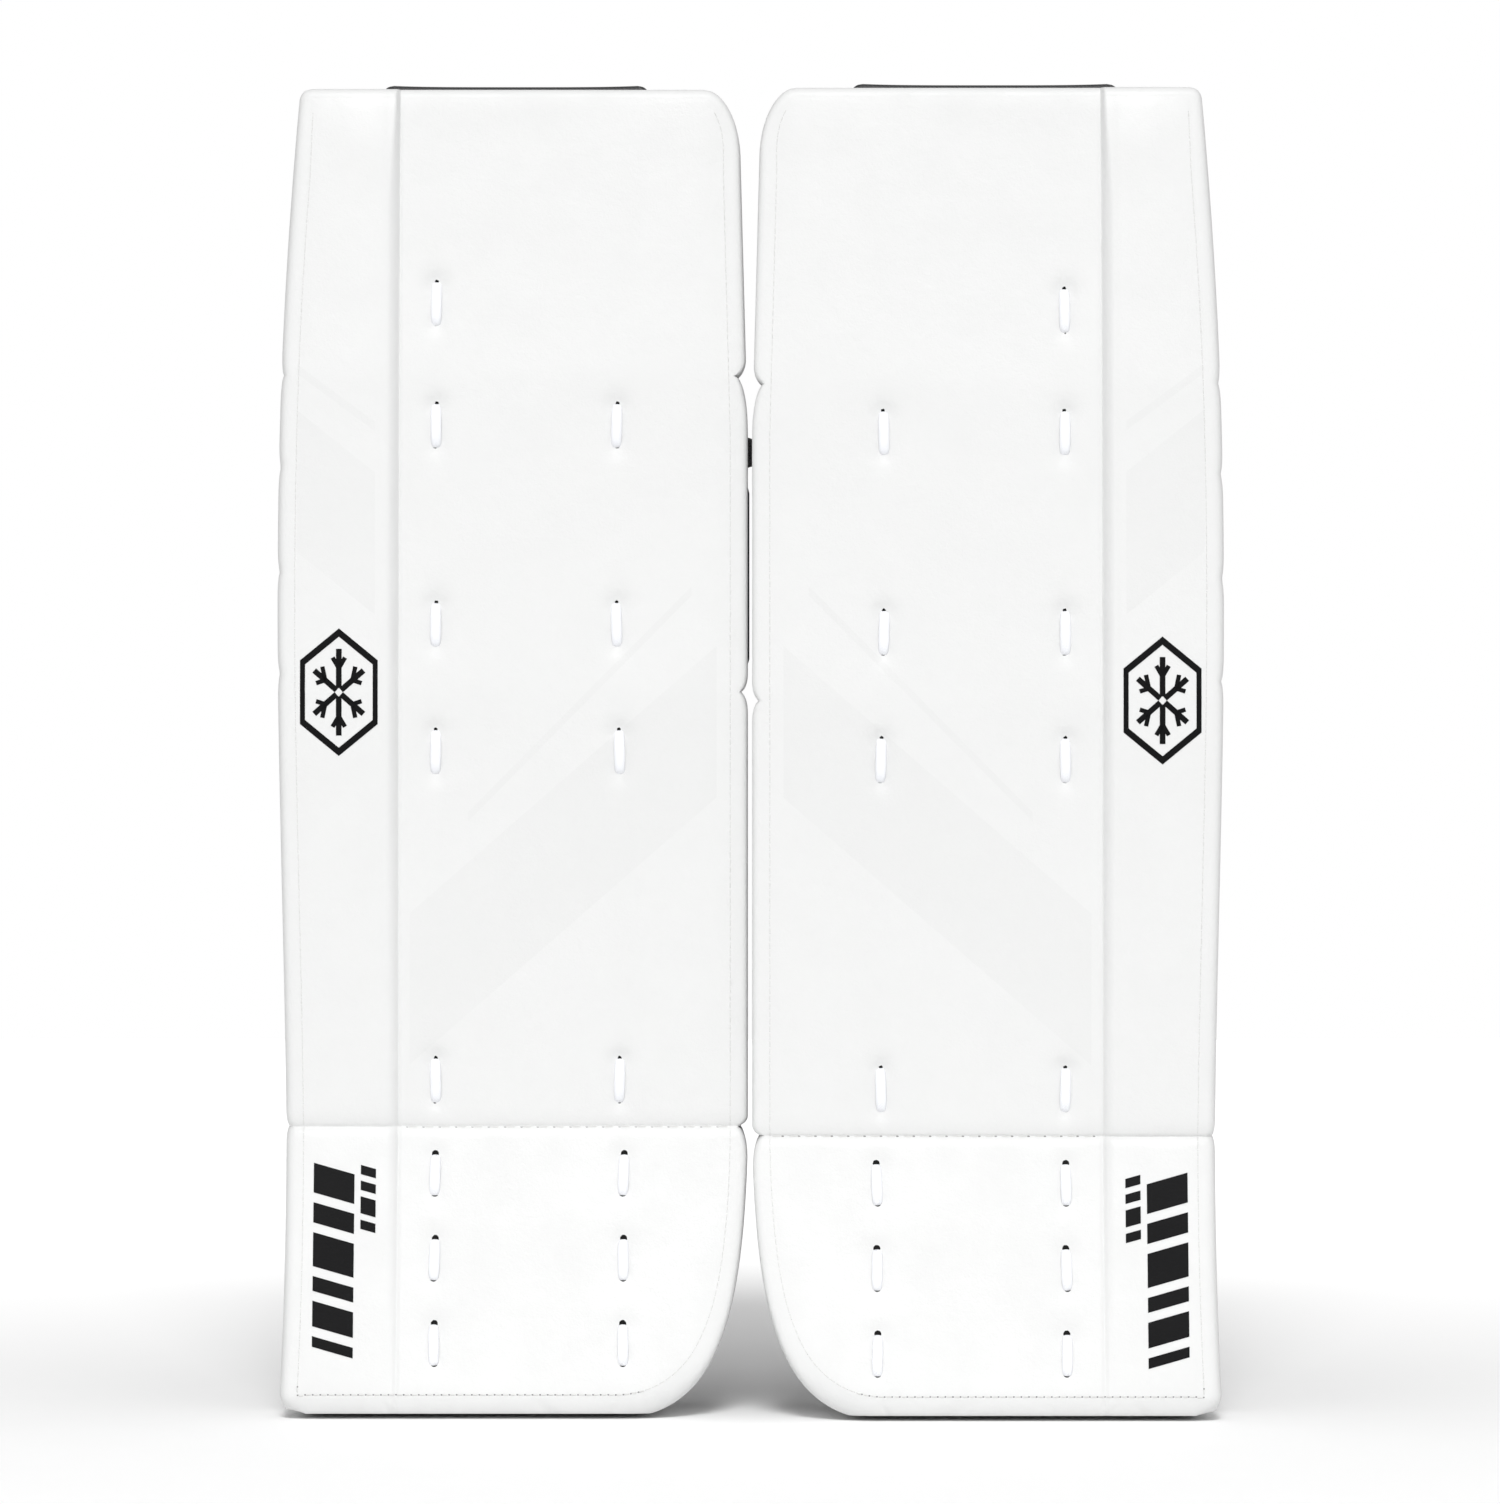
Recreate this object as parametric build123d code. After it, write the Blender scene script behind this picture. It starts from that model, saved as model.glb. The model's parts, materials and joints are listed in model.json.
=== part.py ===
from build123d import *
import math
import os

# A pair of youth goalie leg pads standing side by side, front faces towards -Y, up is +Z.
# Each pad is drawn with its outer roll towards +X, and the wearer's right pad is its mirror image.
# Lengths are millimetres and angles are degrees.

# Front outline of one pad
PAD_HEIGHT = 635.0
INNER_EDGE = 1.0
OUTER_EDGE = 226.0
TOP_OUTER_EDGE = 217.0
TOP_INNER_EDGE = 4.5
TOP_INNER_CORNER = (18.0, 33.0)
TOP_OUTER_CORNER = 6.0
BOTTOM_OUTER_CORNER = 13.0
TOE_CURVE_WIDTH = 62.0
TOE_CURVE_HEIGHT = 130.0

# The three flex lines across the pad, and how far each section leans back
BOOT_LINE = 138.0
KNEE_LINE = 346.0
THIGH_LINE = 498.0
LEAN = {"boot": 13.0, "shin": 0.0, "knee": 3.0, "thigh": 6.0}
COVER_CREASE = (5.0, 28.0)
CORE_CREASE = (10.0, 46.0)
FLEX_GAP = 0.8
CORE_GAP = 12.0
BACK_GAP_ANGLES = {"shin": 9.0, "knee": 7.2, "thigh": 7.2}
FRONT_GAP_ANGLE = 3.5

# Plan section of the padding
COVER = 3.0
CORE_BACK = 54.0
LINING = 2.0
BACK_TONGUE = (46.0, 180.0)
BACK_TONGUE_TOP = 641.5
BACK_TONGUE_CORNER = 6.0
VALLEY = 168.0
ROLL_CREST = 177.0
ROLL_RISE = {"boot": 3.0, "shin": 10.0, "knee": 10.0, "thigh": 10.0}
ROLL_TAPER = 30.0
FACE_EDGE_RADIUS = 9.0
VALLEY_RADIUS = 3.0
CREST_RADIUS = 7.0
ROLL_RADIUS = 13.0
BACK = CORE_BACK + LINING + 0.2

# Laces through the face
LACE_WIDTH = 5.3
LACE_LENGTH = 21.5
LACE_THICKNESS = 1.4
OUTER_LACES = 150.6
INNER_LACES = {"boot": 60.5, "shin": 62.5, "knee": 64.0}
BOOT_LACE_PITCH = 41.0

# Wings and cradles behind the pad
WING_THICKNESS = 14.0
WING_AXIS = BACK + 0.2 + WING_THICKNESS / 2
WING_CORNER = 24.0
CALF_REACH = 62.0
INNER_CALF = 37.0
OUTER_CALF = 179.0
CALF_SPAN = (27.0, 182.0)
KNEE_REACH = 56.0
KNEE_WING = 183.0
KNEE_WING_SPAN = (22.0, 144.0)
SHIN_CRADLE = (58.0, 158.0)
SHIN_CRADLE_DEPTH = 14.0
KNEE_CRADLE = (92.0, 166.0)
KNEE_CRADLE_DEPTH = 12.0
CRADLE_RADIUS = 5.0
KNEE_BLOCK = (14.0, 74.0)
KNEE_BLOCK_DEPTH = 46.0
KNEE_BLOCK_SPAN = (22.0, 122.0)
BLOCK_RADIUS = 6.0
BOOT_WALL = 13.0
BOOT_WALLS = (50.0, 165.0)
BOOT_WALL_BACK = 86.0
BOOT_WALL_TOP = 118.0
BOOT_WALL_CORNER = 34.0

# Straps, keeper and toe tie
STRAP_WIDTH = 25.0
STRAP_THICKNESS = 2.0
STRAP_CLEARANCE = 0.5
STRAP_TIP_WIDTH = 13.4
UPPER_CALF_STRAP = 150.0
LOWER_CALF_STRAP = 62.0
KNEE_STRAP = 125.4
BOOT_STRAP = 82.0
CALF_STRAP_END = 26.0
KNEE_STRAP_END = 0.4
BOOT_STRAP_END = 44.0
STRAP_ROOT = 5.0
KEEPER_PLACE = 112.0
KEEPER_LENGTH = 14.0
KEEPER_WALL = 2.2
KEEPER_CLEARANCE = 0.4
TOE_BRIDGE = (75.0, 149.0)
TOE_BRIDGE_SPAN = (-120.0, -86.0)
TOE_BRIDGE_THICKNESS = 3.0
TOE_HOLE = 8.0
TOE_TIE_WIDTH = 20.0
TOE_TIE_LENGTH = 46.0
TOE_TIE_CLEARANCE = 1.7

# How the two pads stand: the left one a little forward, with its lines a little lower
LEFT_FORWARD = 12.0
LEFT_DROP = 4.0

# Extents of the cutting solids, well past the pad on every side
PAST = 150.0


class PadFrame:
    """Where one pad's four sections sit: each has its origin on the front face at a flex line."""

    def __init__(self, drop):
        self.boot_line = BOOT_LINE - drop
        self.knee_line = KNEE_LINE - drop
        self.thigh_line = THIGH_LINE - drop
        knee_back = (THIGH_LINE - KNEE_LINE) * math.tan(math.radians(LEAN["knee"]))
        self.hinges = {
            "boot": (0.0, self.boot_line),
            "shin": (0.0, self.boot_line),
            "knee": (0.0, self.knee_line),
            "thigh": (knee_back, self.thigh_line),
        }

    def place(self, section):
        """The location of a section: its X is across the pad, its Z runs up the face."""
        y, z = self.hinges[section]
        return Location((0, y, z), (-LEAN[section], 0, 0))

    def length(self, section):
        """How far a section reaches along its own face, from its origin."""
        if section == "shin":
            return self.knee_line - self.boot_line
        if section == "knee":
            return (self.thigh_line - self.knee_line) / math.cos(math.radians(LEAN["knee"]))
        if section == "thigh":
            return (PAD_HEIGHT - self.thigh_line) / math.cos(math.radians(LEAN["thigh"]))
        return -self.boot_line / math.cos(math.radians(LEAN["boot"]))


def outline(inset):
    """The pad's front outline, drawn in by inset and made solid through its whole depth."""
    inner = INNER_EDGE + inset
    top = PAD_HEIGHT - inset
    floor = -PAST if inset else 0.0
    toe_end = TOE_CURVE_WIDTH + inset
    top_inner = TOP_INNER_EDGE + inset
    top_outer = TOP_OUTER_EDGE - inset
    corner_wide, corner_tall = TOP_INNER_CORNER
    round_off = TOP_OUTER_CORNER
    bottom_outer = 224.0 - inset
    toe_curve = Bezier(
        (inner, TOE_CURVE_HEIGHT),
        (inner + 2, 50 + inset),
        (inner + 13, 2 + inset),
        (toe_end, inset),
    )
    outer_edge = Spline(
        (bottom_outer, BOTTOM_OUTER_CORNER),
        (222.5 - inset, 150),
        (OUTER_EDGE - inset, 330),
        (223.0 - inset, 545),
        (top_outer, top - round_off),
    )
    top_corner = Bezier(
        (top_outer, top - round_off),
        (top_outer, top),
        (top_outer - round_off, top),
    )
    inner_corner = Bezier(
        (top_inner + corner_wide, top),
        (top_inner + 0.45 * corner_wide, top),
        (top_inner, top - 0.45 * corner_tall),
        (top_inner, top - corner_tall),
    )
    edges = [toe_curve]
    if inset:
        edges.append(Line((toe_end, inset), (toe_end, floor)))
    bottom_corner_start = bottom_outer - BOTTOM_OUTER_CORNER
    edges.append(Line((toe_end, floor), (bottom_corner_start, floor)))
    if inset:
        edges.append(Line((bottom_corner_start, floor), (bottom_corner_start, 0)))
    edges.append(
        Bezier(
            (bottom_corner_start, 0),
            (bottom_outer, 0),
            (bottom_outer, BOTTOM_OUTER_CORNER),
        )
    )
    edges.append(outer_edge)
    edges.append(top_corner)
    edges.append(Line((top_outer - round_off, top), (top_inner + corner_wide, top)))
    edges.append(inner_corner)
    edges.append(Line((top_inner, top - corner_tall), (inner, 470)))
    edges.append(Line((inner, 470), (inner, TOE_CURVE_HEIGHT)))
    face = make_face(edges)
    return extrude(Plane.XZ * face, amount=PAST, both=True)


def plan(inset, back, rise):
    """The padding seen from above: the flat face, the valley and the raised outer roll."""
    inner = INNER_EDGE + inset
    outer = OUTER_EDGE - inset
    crest = inset - rise
    crest_radius = min(CREST_RADIUS, 0.6 * rise)
    front = FilletPolyline(
        (inner, back),
        (inner, inset),
        (VALLEY + inset, inset),
        (ROLL_CREST + inset, crest),
        (outer, crest),
        (outer, back),
        radius=[FACE_EDGE_RADIUS, VALLEY_RADIUS, crest_radius, ROLL_RADIUS],
    )
    return make_face([front, Line((outer, back), (inner, back))])


def band(frame, section, gap):
    """The slice of space that a section keeps to, with the gap at each line opening in a V."""

    def edge(upper, way):
        y, z = frame.hinges[upper]
        front = way * (gap / 2 + PAST * math.tan(math.radians(FRONT_GAP_ANGLE)))
        back = way * (gap / 2 + PAST * math.tan(math.radians(BACK_GAP_ANGLES[upper])))
        return [(y - PAST, z + front), (y, z + way * gap / 2), (y + PAST, z + back)]

    above = {"boot": "shin", "shin": "knee", "knee": "thigh"}
    if section == "boot":
        low = [(-PAST, 0), (PAST, 0)]
    else:
        low = edge(section, 1)
    if section == "thigh":
        high = [(-PAST, PAD_HEIGHT + PAST), (PAST + PAST, PAD_HEIGHT + PAST)]
    else:
        high = edge(above[section], -1)
    points = low + high[::-1]
    return extrude(Plane.YZ * make_face(Polyline(*points, close=True)), amount=2 * PAST)


def creases(frame, crease):
    """The notches that the flex lines leave in the inner edge, each as deep and tall as crease."""
    deep, tall = crease
    notches = []
    for line in (frame.boot_line, frame.knee_line, frame.thigh_line):
        points = [
            (INNER_EDGE - 2, line - tall / 2),
            (INNER_EDGE + deep, line),
            (INNER_EDGE - 2, line + tall / 2),
        ]
        notch = make_face(Polyline(*points, close=True))
        notches.append(extrude(Plane.XZ * notch, amount=PAST, both=True))
    return notches


def roll_taper(frame, inset):
    """What is cut away where the outer roll slopes back to the face at the very top."""
    top = frame.length("thigh")
    rise = ROLL_RISE["thigh"] - inset
    points = [
        (-rise - 1, top - ROLL_TAPER - inset),
        (inset, top),
        (-PAST, top + PAST),
        (-PAST, top - ROLL_TAPER - inset),
    ]
    wedge = extrude(Plane.YZ * make_face(Polyline(*points, close=True)), amount=PAST)
    return frame.place("thigh") * Pos(VALLEY - 1, 0, 0) * wedge


def padding(frame, section, inset, back):
    """The full solid of one section, before it is divided into cover, core and roll."""
    reach = 2 * PAST + abs(frame.length(section))
    run = extrude(plan(inset, back, ROLL_RISE[section]), amount=reach)
    low = -reach + PAST if section == "boot" else -PAST
    solid = (frame.place(section) * Pos(0, 0, low) * run) & outline(inset)
    if section == "thigh":
        solid = solid - roll_taper(frame, inset)
    return solid


def section_parts(frame, section):
    """Cover, core with its roll, and back lining of one section."""
    keep = band(frame, section, FLEX_GAP)
    whole = padding(frame, section, 0, CORE_BACK) & keep
    hollow = padding(frame, section, COVER, CORE_BACK + 5)
    filling = padding(frame, section, COVER, CORE_BACK) & band(frame, section, CORE_GAP)
    cover = whole - hollow
    for notch in creases(frame, COVER_CREASE):
        cover = cover - notch
    for notch in creases(frame, CORE_CREASE):
        filling = filling - notch
    split = VALLEY + 1
    slab = filling & Pos(split - PAST, 0, 0) * Box(2 * PAST, 4 * PAST, 20 * PAST)
    roll = filling & Pos(split + 0.4 + PAST, 0, 0) * Box(2 * PAST, 4 * PAST, 20 * PAST)
    sheet = Pos(0, CORE_BACK + LINING / 2, 0) * Box(2 * OUTER_EDGE, LINING, 20 * PAST)
    sheet = frame.place(section) * sheet
    shape = outline(7)
    if section == "thigh":
        shape = shape + tongue_outline()
    return cover, [slab, roll], sheet & shape & keep


def tongue_outline():
    """The middle of the back panel's top edge, which stands above the front."""
    low, high = BACK_TONGUE
    bottom = THIGH_LINE + 40
    path = FilletPolyline(
        (low, bottom),
        (low, BACK_TONGUE_TOP),
        (high, BACK_TONGUE_TOP),
        (high, bottom),
        radius=BACK_TONGUE_CORNER,
    )
    face = make_face([path, Line((high, bottom), (low, bottom))])
    return extrude(Plane.XZ * face, amount=PAST, both=True)


def laces(frame, section):
    """The short vertical stitches of a section, as separate solids."""
    length = frame.length(section)
    rows = {
        "boot": [-12.5 - BOOT_LACE_PITCH * k for k in range(3)],
        "shin": [33.6, length - 17.0],
        "knee": [44.0, length - 12.5],
        "thigh": [45.5],
    }
    group = []
    for top in rows[section]:
        columns = [OUTER_LACES]
        if section in INNER_LACES:
            columns.append(INNER_LACES[section])
        for across in columns:
            lace = Box(LACE_WIDTH, LACE_THICKNESS, LACE_LENGTH)
            lace = fillet(lace.edges().filter_by(Axis.Z).group_by(Axis.Y)[0], 0.6)
            middle = top - LACE_LENGTH / 2
            group.append(frame.place(section) * Pos(across, -LACE_THICKNESS / 2, middle) * lace)
    return group


def wing(across, reach, span):
    """A padded flap that stands straight back, with a round front edge about its hinge line."""
    low, high = span
    path = FilletPolyline(
        (WING_AXIS, low),
        (WING_AXIS + reach, low),
        (WING_AXIS + reach, high),
        (WING_AXIS, high),
        radius=WING_CORNER,
    )
    side = make_face([path, Line((WING_AXIS, high), (WING_AXIS, low))])
    panel = extrude(Plane.YZ * side, amount=WING_THICKNESS / 2, both=True)
    edge = Cylinder(WING_THICKNESS / 2, high - low)
    return Pos(across, 0, 0) * panel + Pos(across, WING_AXIS, (low + high) / 2) * edge


def cushion(across, depth, span, radius):
    """A rounded block on the back of the pad."""
    wide = across[1] - across[0]
    tall = span[1] - span[0]
    block = Box(wide, depth, tall)
    block = fillet(block.edges(), radius)
    return Pos((across[0] + across[1]) / 2, BACK + depth / 2, (span[0] + span[1]) / 2) * block


def strap(start, end, front, height, tip_width):
    """A flat band across the back, from its root at start to its narrower tip at end."""
    half = STRAP_WIDTH / 2
    tip = tip_width / 2
    taper = STRAP_WIDTH - tip_width
    points = [
        (start, -half),
        (start, half),
        (end + 6 + taper, half),
        (end, tip),
        (end, -tip),
        (end + 6 + taper, -half),
    ]
    face = make_face(Polyline(*points, close=True))
    strip = extrude(Plane.XZ * face, amount=STRAP_THICKNESS / 2, both=True)
    return Pos(0, front + STRAP_THICKNESS / 2, height) * strip


def boot_walls(frame):
    """The two padded walls that stand each side of the skate, flat on the floor."""
    lean = math.radians(LEAN["boot"])

    def back_at(height):
        return BACK / math.cos(lean) - (frame.boot_line - height) * math.tan(lean)

    path = FilletPolyline(
        (back_at(0), 0),
        (BOOT_WALL_BACK, 0),
        (BOOT_WALL_BACK, BOOT_WALL_TOP),
        (back_at(BOOT_WALL_TOP), BOOT_WALL_TOP),
        radius=[4.0, BOOT_WALL_CORNER * 0.6],
    )
    side = make_face([path, Line((back_at(BOOT_WALL_TOP), BOOT_WALL_TOP), (back_at(0), 0))])
    wall = extrude(Plane.YZ * side, amount=BOOT_WALL)
    return [Pos(across, 0, 0) * wall for across in BOOT_WALLS]


def keeper():
    """The loop that slides along the boot strap."""
    tall = STRAP_WIDTH + 2 * KEEPER_CLEARANCE
    deep = STRAP_THICKNESS + 2 * KEEPER_CLEARANCE
    ring = Box(KEEPER_LENGTH, deep + 2 * KEEPER_WALL, tall + 2 * KEEPER_WALL)
    ring = fillet(ring.edges().filter_by(Axis.X), 1.5)
    ring = ring - Box(KEEPER_LENGTH + 2, deep, tall)
    middle = BOOT_WALL_BACK + STRAP_CLEARANCE + STRAP_THICKNESS / 2
    return Pos(KEEPER_PLACE, middle, BOOT_STRAP) * ring


def toe_pieces(frame):
    """The stiff tab behind the toe, with its two holes, and the strap that hangs from it."""
    low, high = TOE_BRIDGE_SPAN
    wide = TOE_BRIDGE[1] - TOE_BRIDGE[0]
    middle = (TOE_BRIDGE[0] + TOE_BRIDGE[1]) / 2
    plate = Box(wide, TOE_BRIDGE_THICKNESS, high - low)
    plate = fillet(plate.edges().filter_by(Axis.Y), 6)
    for way in (-1, 1):
        hole = Rot(90, 0, 0) * Cylinder(TOE_HOLE / 2, 3 * TOE_BRIDGE_THICKNESS)
        plate = plate - Pos(way * wide / 3, 0, 0) * hole
    spot = Pos(middle, BACK + TOE_BRIDGE_THICKNESS / 2, (low + high) / 2)
    bridge = frame.place("boot") * spot * plate
    pivot = toe_tie_axis(frame)
    hang = (Align.CENTER, Align.MIN, Align.CENTER)
    tie = Box(TOE_TIE_WIDTH, TOE_TIE_LENGTH, STRAP_THICKNESS, align=hang)
    tie = tie + Rot(0, 90, 0) * Cylinder(STRAP_THICKNESS / 2, TOE_TIE_WIDTH)
    return bridge, Pos(middle, pivot.Y, pivot.Z) * tie


def toe_tie_axis(frame):
    """The line that the toe tie swings about, just behind the toe bridge."""
    low, high = TOE_BRIDGE_SPAN
    behind = BACK + TOE_BRIDGE_THICKNESS + TOE_TIE_CLEARANCE
    return (frame.place("boot") * Pos(0, behind, (low + high) / 2)).position


def pad_nodes(frame):
    """Every node of one pad, by name, in the pad's own place with its outer roll towards +X."""
    nodes = {}
    for section in LEAN:
        cover, core, lining = section_parts(frame, section)
        nodes[f"{section}_cover"] = cover
        nodes[f"{section}_core"] = core
        nodes[f"{section}_back"] = lining
        nodes[f"{section}_laces"] = laces(frame, section)
    shin = frame.place("shin")
    knee = frame.place("knee")
    calf_tip = WING_AXIS + CALF_REACH + STRAP_CLEARANCE
    knee_tip = WING_AXIS + KNEE_REACH + STRAP_CLEARANCE
    boot_tip = BOOT_WALL_BACK + STRAP_CLEARANCE
    calf_root = OUTER_CALF + STRAP_ROOT
    nodes["calf_wing_inner"] = shin * wing(INNER_CALF, CALF_REACH, CALF_SPAN)
    nodes["calf_wing_outer"] = shin * wing(OUTER_CALF, CALF_REACH, CALF_SPAN)
    nodes["knee_wing"] = knee * wing(KNEE_WING, KNEE_REACH, KNEE_WING_SPAN)
    nodes["shin_cradle"] = shin * cushion(SHIN_CRADLE, SHIN_CRADLE_DEPTH, CALF_SPAN, CRADLE_RADIUS)
    nodes["knee_cradle"] = knee * cushion(
        KNEE_CRADLE, KNEE_CRADLE_DEPTH, KNEE_BLOCK_SPAN, CRADLE_RADIUS
    )
    nodes["knee_block"] = knee * Pos(0, 0.4, 0) * cushion(
        KNEE_BLOCK, KNEE_BLOCK_DEPTH, KNEE_BLOCK_SPAN, BLOCK_RADIUS
    )
    nodes["calf_strap_upper"] = shin * strap(
        calf_root, CALF_STRAP_END, calf_tip, UPPER_CALF_STRAP, STRAP_WIDTH
    )
    nodes["calf_strap_lower"] = shin * strap(
        calf_root, CALF_STRAP_END, calf_tip, LOWER_CALF_STRAP, STRAP_WIDTH
    )
    nodes["knee_strap"] = knee * strap(
        KNEE_WING + STRAP_ROOT, KNEE_STRAP_END, knee_tip, KNEE_STRAP, STRAP_TIP_WIDTH
    )
    nodes["boot_cradle"] = boot_walls(frame)
    nodes["boot_strap"] = strap(
        BOOT_WALLS[1] + BOOT_WALL - 2, BOOT_STRAP_END, boot_tip, BOOT_STRAP, STRAP_WIDTH
    )
    nodes["boot_keeper"] = keeper()
    nodes["toe_bridge"], nodes["toe_tie"] = toe_pieces(frame)
    return nodes


def solids_of(item):
    """The solids of a shape or of a list of shapes."""
    shapes = item if isinstance(item, list) else [item]
    return [solid for shape in shapes for solid in shape.solids()]


right = pad_nodes(PadFrame(0.0))
left = pad_nodes(PadFrame(LEFT_DROP))

# The pair is centred front to back, so that its origin is the middle of its box on the floor
left = {name: [Pos(0, -LEFT_FORWARD, 0) * s for s in solids_of(item)] for name, item in left.items()}
right = {name: [mirror(s, about=Plane.YZ) for s in solids_of(item)] for name, item in right.items()}
everything = [s.bounding_box() for pad in (left, right) for group in pad.values() for s in group]
front = min(box.min.Y for box in everything)
back = max(box.max.Y for box in everything)
centring = -(front + back) / 2

os.makedirs("parts", exist_ok=True)
for side, pad in (("left", left), ("right", right)):
    for name, group in pad.items():
        placed = [Pos(0, centring, 0) * s for s in group]
        shape = placed[0] if len(placed) == 1 else Compound(children=placed)
        export_step(shape, f"parts/{side}_{name}.step")

print(f"centring {centring:.3f} mm, front {front:.2f}, back {back:.2f}")
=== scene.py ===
"""The looks of a pair of youth goalie leg pads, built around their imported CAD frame."""

import json
import math

import bpy
import numpy as np
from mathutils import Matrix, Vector
from mathutils.bvhtree import BVHTree


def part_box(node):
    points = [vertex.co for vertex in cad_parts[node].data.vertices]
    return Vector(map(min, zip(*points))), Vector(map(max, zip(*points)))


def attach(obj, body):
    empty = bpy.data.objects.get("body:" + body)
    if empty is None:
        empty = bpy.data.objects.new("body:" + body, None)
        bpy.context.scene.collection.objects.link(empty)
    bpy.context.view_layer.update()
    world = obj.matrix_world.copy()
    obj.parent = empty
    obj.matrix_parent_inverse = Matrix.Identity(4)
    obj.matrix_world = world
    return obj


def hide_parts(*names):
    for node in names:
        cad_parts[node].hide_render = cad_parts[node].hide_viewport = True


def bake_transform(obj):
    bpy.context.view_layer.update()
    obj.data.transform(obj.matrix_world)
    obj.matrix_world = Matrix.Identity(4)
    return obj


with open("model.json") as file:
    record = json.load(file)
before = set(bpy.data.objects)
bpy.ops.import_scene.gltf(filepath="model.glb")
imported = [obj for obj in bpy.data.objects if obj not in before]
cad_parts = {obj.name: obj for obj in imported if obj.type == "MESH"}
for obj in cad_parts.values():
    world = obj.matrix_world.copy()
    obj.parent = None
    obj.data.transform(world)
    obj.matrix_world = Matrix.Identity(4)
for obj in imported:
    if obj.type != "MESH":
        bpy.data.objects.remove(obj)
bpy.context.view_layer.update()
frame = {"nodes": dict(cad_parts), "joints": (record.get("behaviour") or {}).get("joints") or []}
JOINTS = {joint["name"]: joint for joint in frame["joints"]}

# Every length below is in millimetres unless its name says otherwise. A pad's own space has
# u outwards from the middle of the pair, y back from the shin's face, and z up from the floor.
MM = 0.001
PAD_TOP = 636.5

# Front outline of a pad: its toe curve, straight inner edge, top corners and outer edge
TOE_CURVE = ((1.0, 130.0), (3.0, 50.0), (14.0, 2.0), (62.0, 0.0))
INNER_EDGE = ((4.5, 602.0), (1.0, 470.0), (1.0, 130.0))
TOP_INNER_CORNER = ((22.5, 636.5), (12.6, 636.5), (4.5, 621.0), (4.5, 602.0))
OUTER_EDGE = ((13.0, 224.0), (150.0, 222.5), (330.0, 226.0), (545.0, 223.0), (630.5, 217.0))
TOP_OUTER_CORNER = ((217.0, 630.5), (217.0, 633.8), (214.3, 636.5), (211.0, 636.5))
BOTTOM_OUTER_CORNER = ((211.0, 0.0), (218.2, 0.0), (224.0, 5.8), (224.0, 13.0))

# How wide the side panel shows round the face, and how deep its front edge rounds
SIDE_SHOWS = {"bottom": 10.5, "inner": 7.0, "top": 4.6, "outer": 7.2}
SIDE_ROUNDS = {"bottom": 8.0, "inner": 6.5, "top": 5.0, "outer": 9.0}

# The lean of the four sections, and the depth of the padding
LEAN = {"boot": 13.0, "shin": 0.0, "knee": 3.0, "thigh": 6.0}
DEPTH = 54.0
BACK_LINE_DROP = {"boot": 6.2, "knee": 1.4, "thigh": 4.3}
BEND_SOFTNESS = 3.0

# The raised outer roll
VALLEY = 168.5
ROLL_SLOPE = 5.2
ROLL_RISE = 5.2
LOW_ROLL_RISE = 3.2
BOOT_ROLL_RISE = 2.6
ROLL_TOP_FADE = 34.0
ROLL_END_ROUND = 13.0

# Creases at the flex lines: how far each notch cuts in, and how far it reaches up and down
NOTCHES = {"boot": (5.2, 5.0, 16.0), "knee": (3.9, 9.0, 10.0), "thigh": (5.4, 8.0, 22.0)}
OUTER_PINCHES = (0.0, -44.0, -94.0, -143.0)
BOOT_SEAM_DEPTH = 2.4

# Laces through the face: columns across, and the height of each one's upper end in its section
LACE_LENGTH = {"boot": 18.8, "shin": 20.6, "knee": 20.6, "thigh": 20.6}
LACE_WIDTH = 5.3
OUTER_LACES = 150.6
INNER_LACES = {"boot": 60.5, "shin": 62.5, "knee": 64.0}
LACE_TOPS = {
    "boot": (-13.9, -54.9, -95.9),
    "shin": (32.2, -18.4),
    "knee": (42.6, -13.9),
    "thigh": (45.1,),
}


def smooth(value):
    """An even step from 0 to 1, for values from 0 to 1."""
    clipped = np.clip(value, 0.0, 1.0)
    return clipped * clipped * (3.0 - 2.0 * clipped)


def soft_ramp(value):
    """Rises from 0 with slope 1 past 0, with a soft bend."""
    return (value + np.sqrt(value * value + BEND_SOFTNESS**2)) / 2.0


def pillow(distance, reach):
    """1 at a crease, falling to 0 as a round cushion end does over reach."""
    toward = 1.0 - np.clip(np.abs(distance) / reach, 0.0, 1.0)
    return 1.0 - np.sqrt(1.0 - toward * toward)


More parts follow.
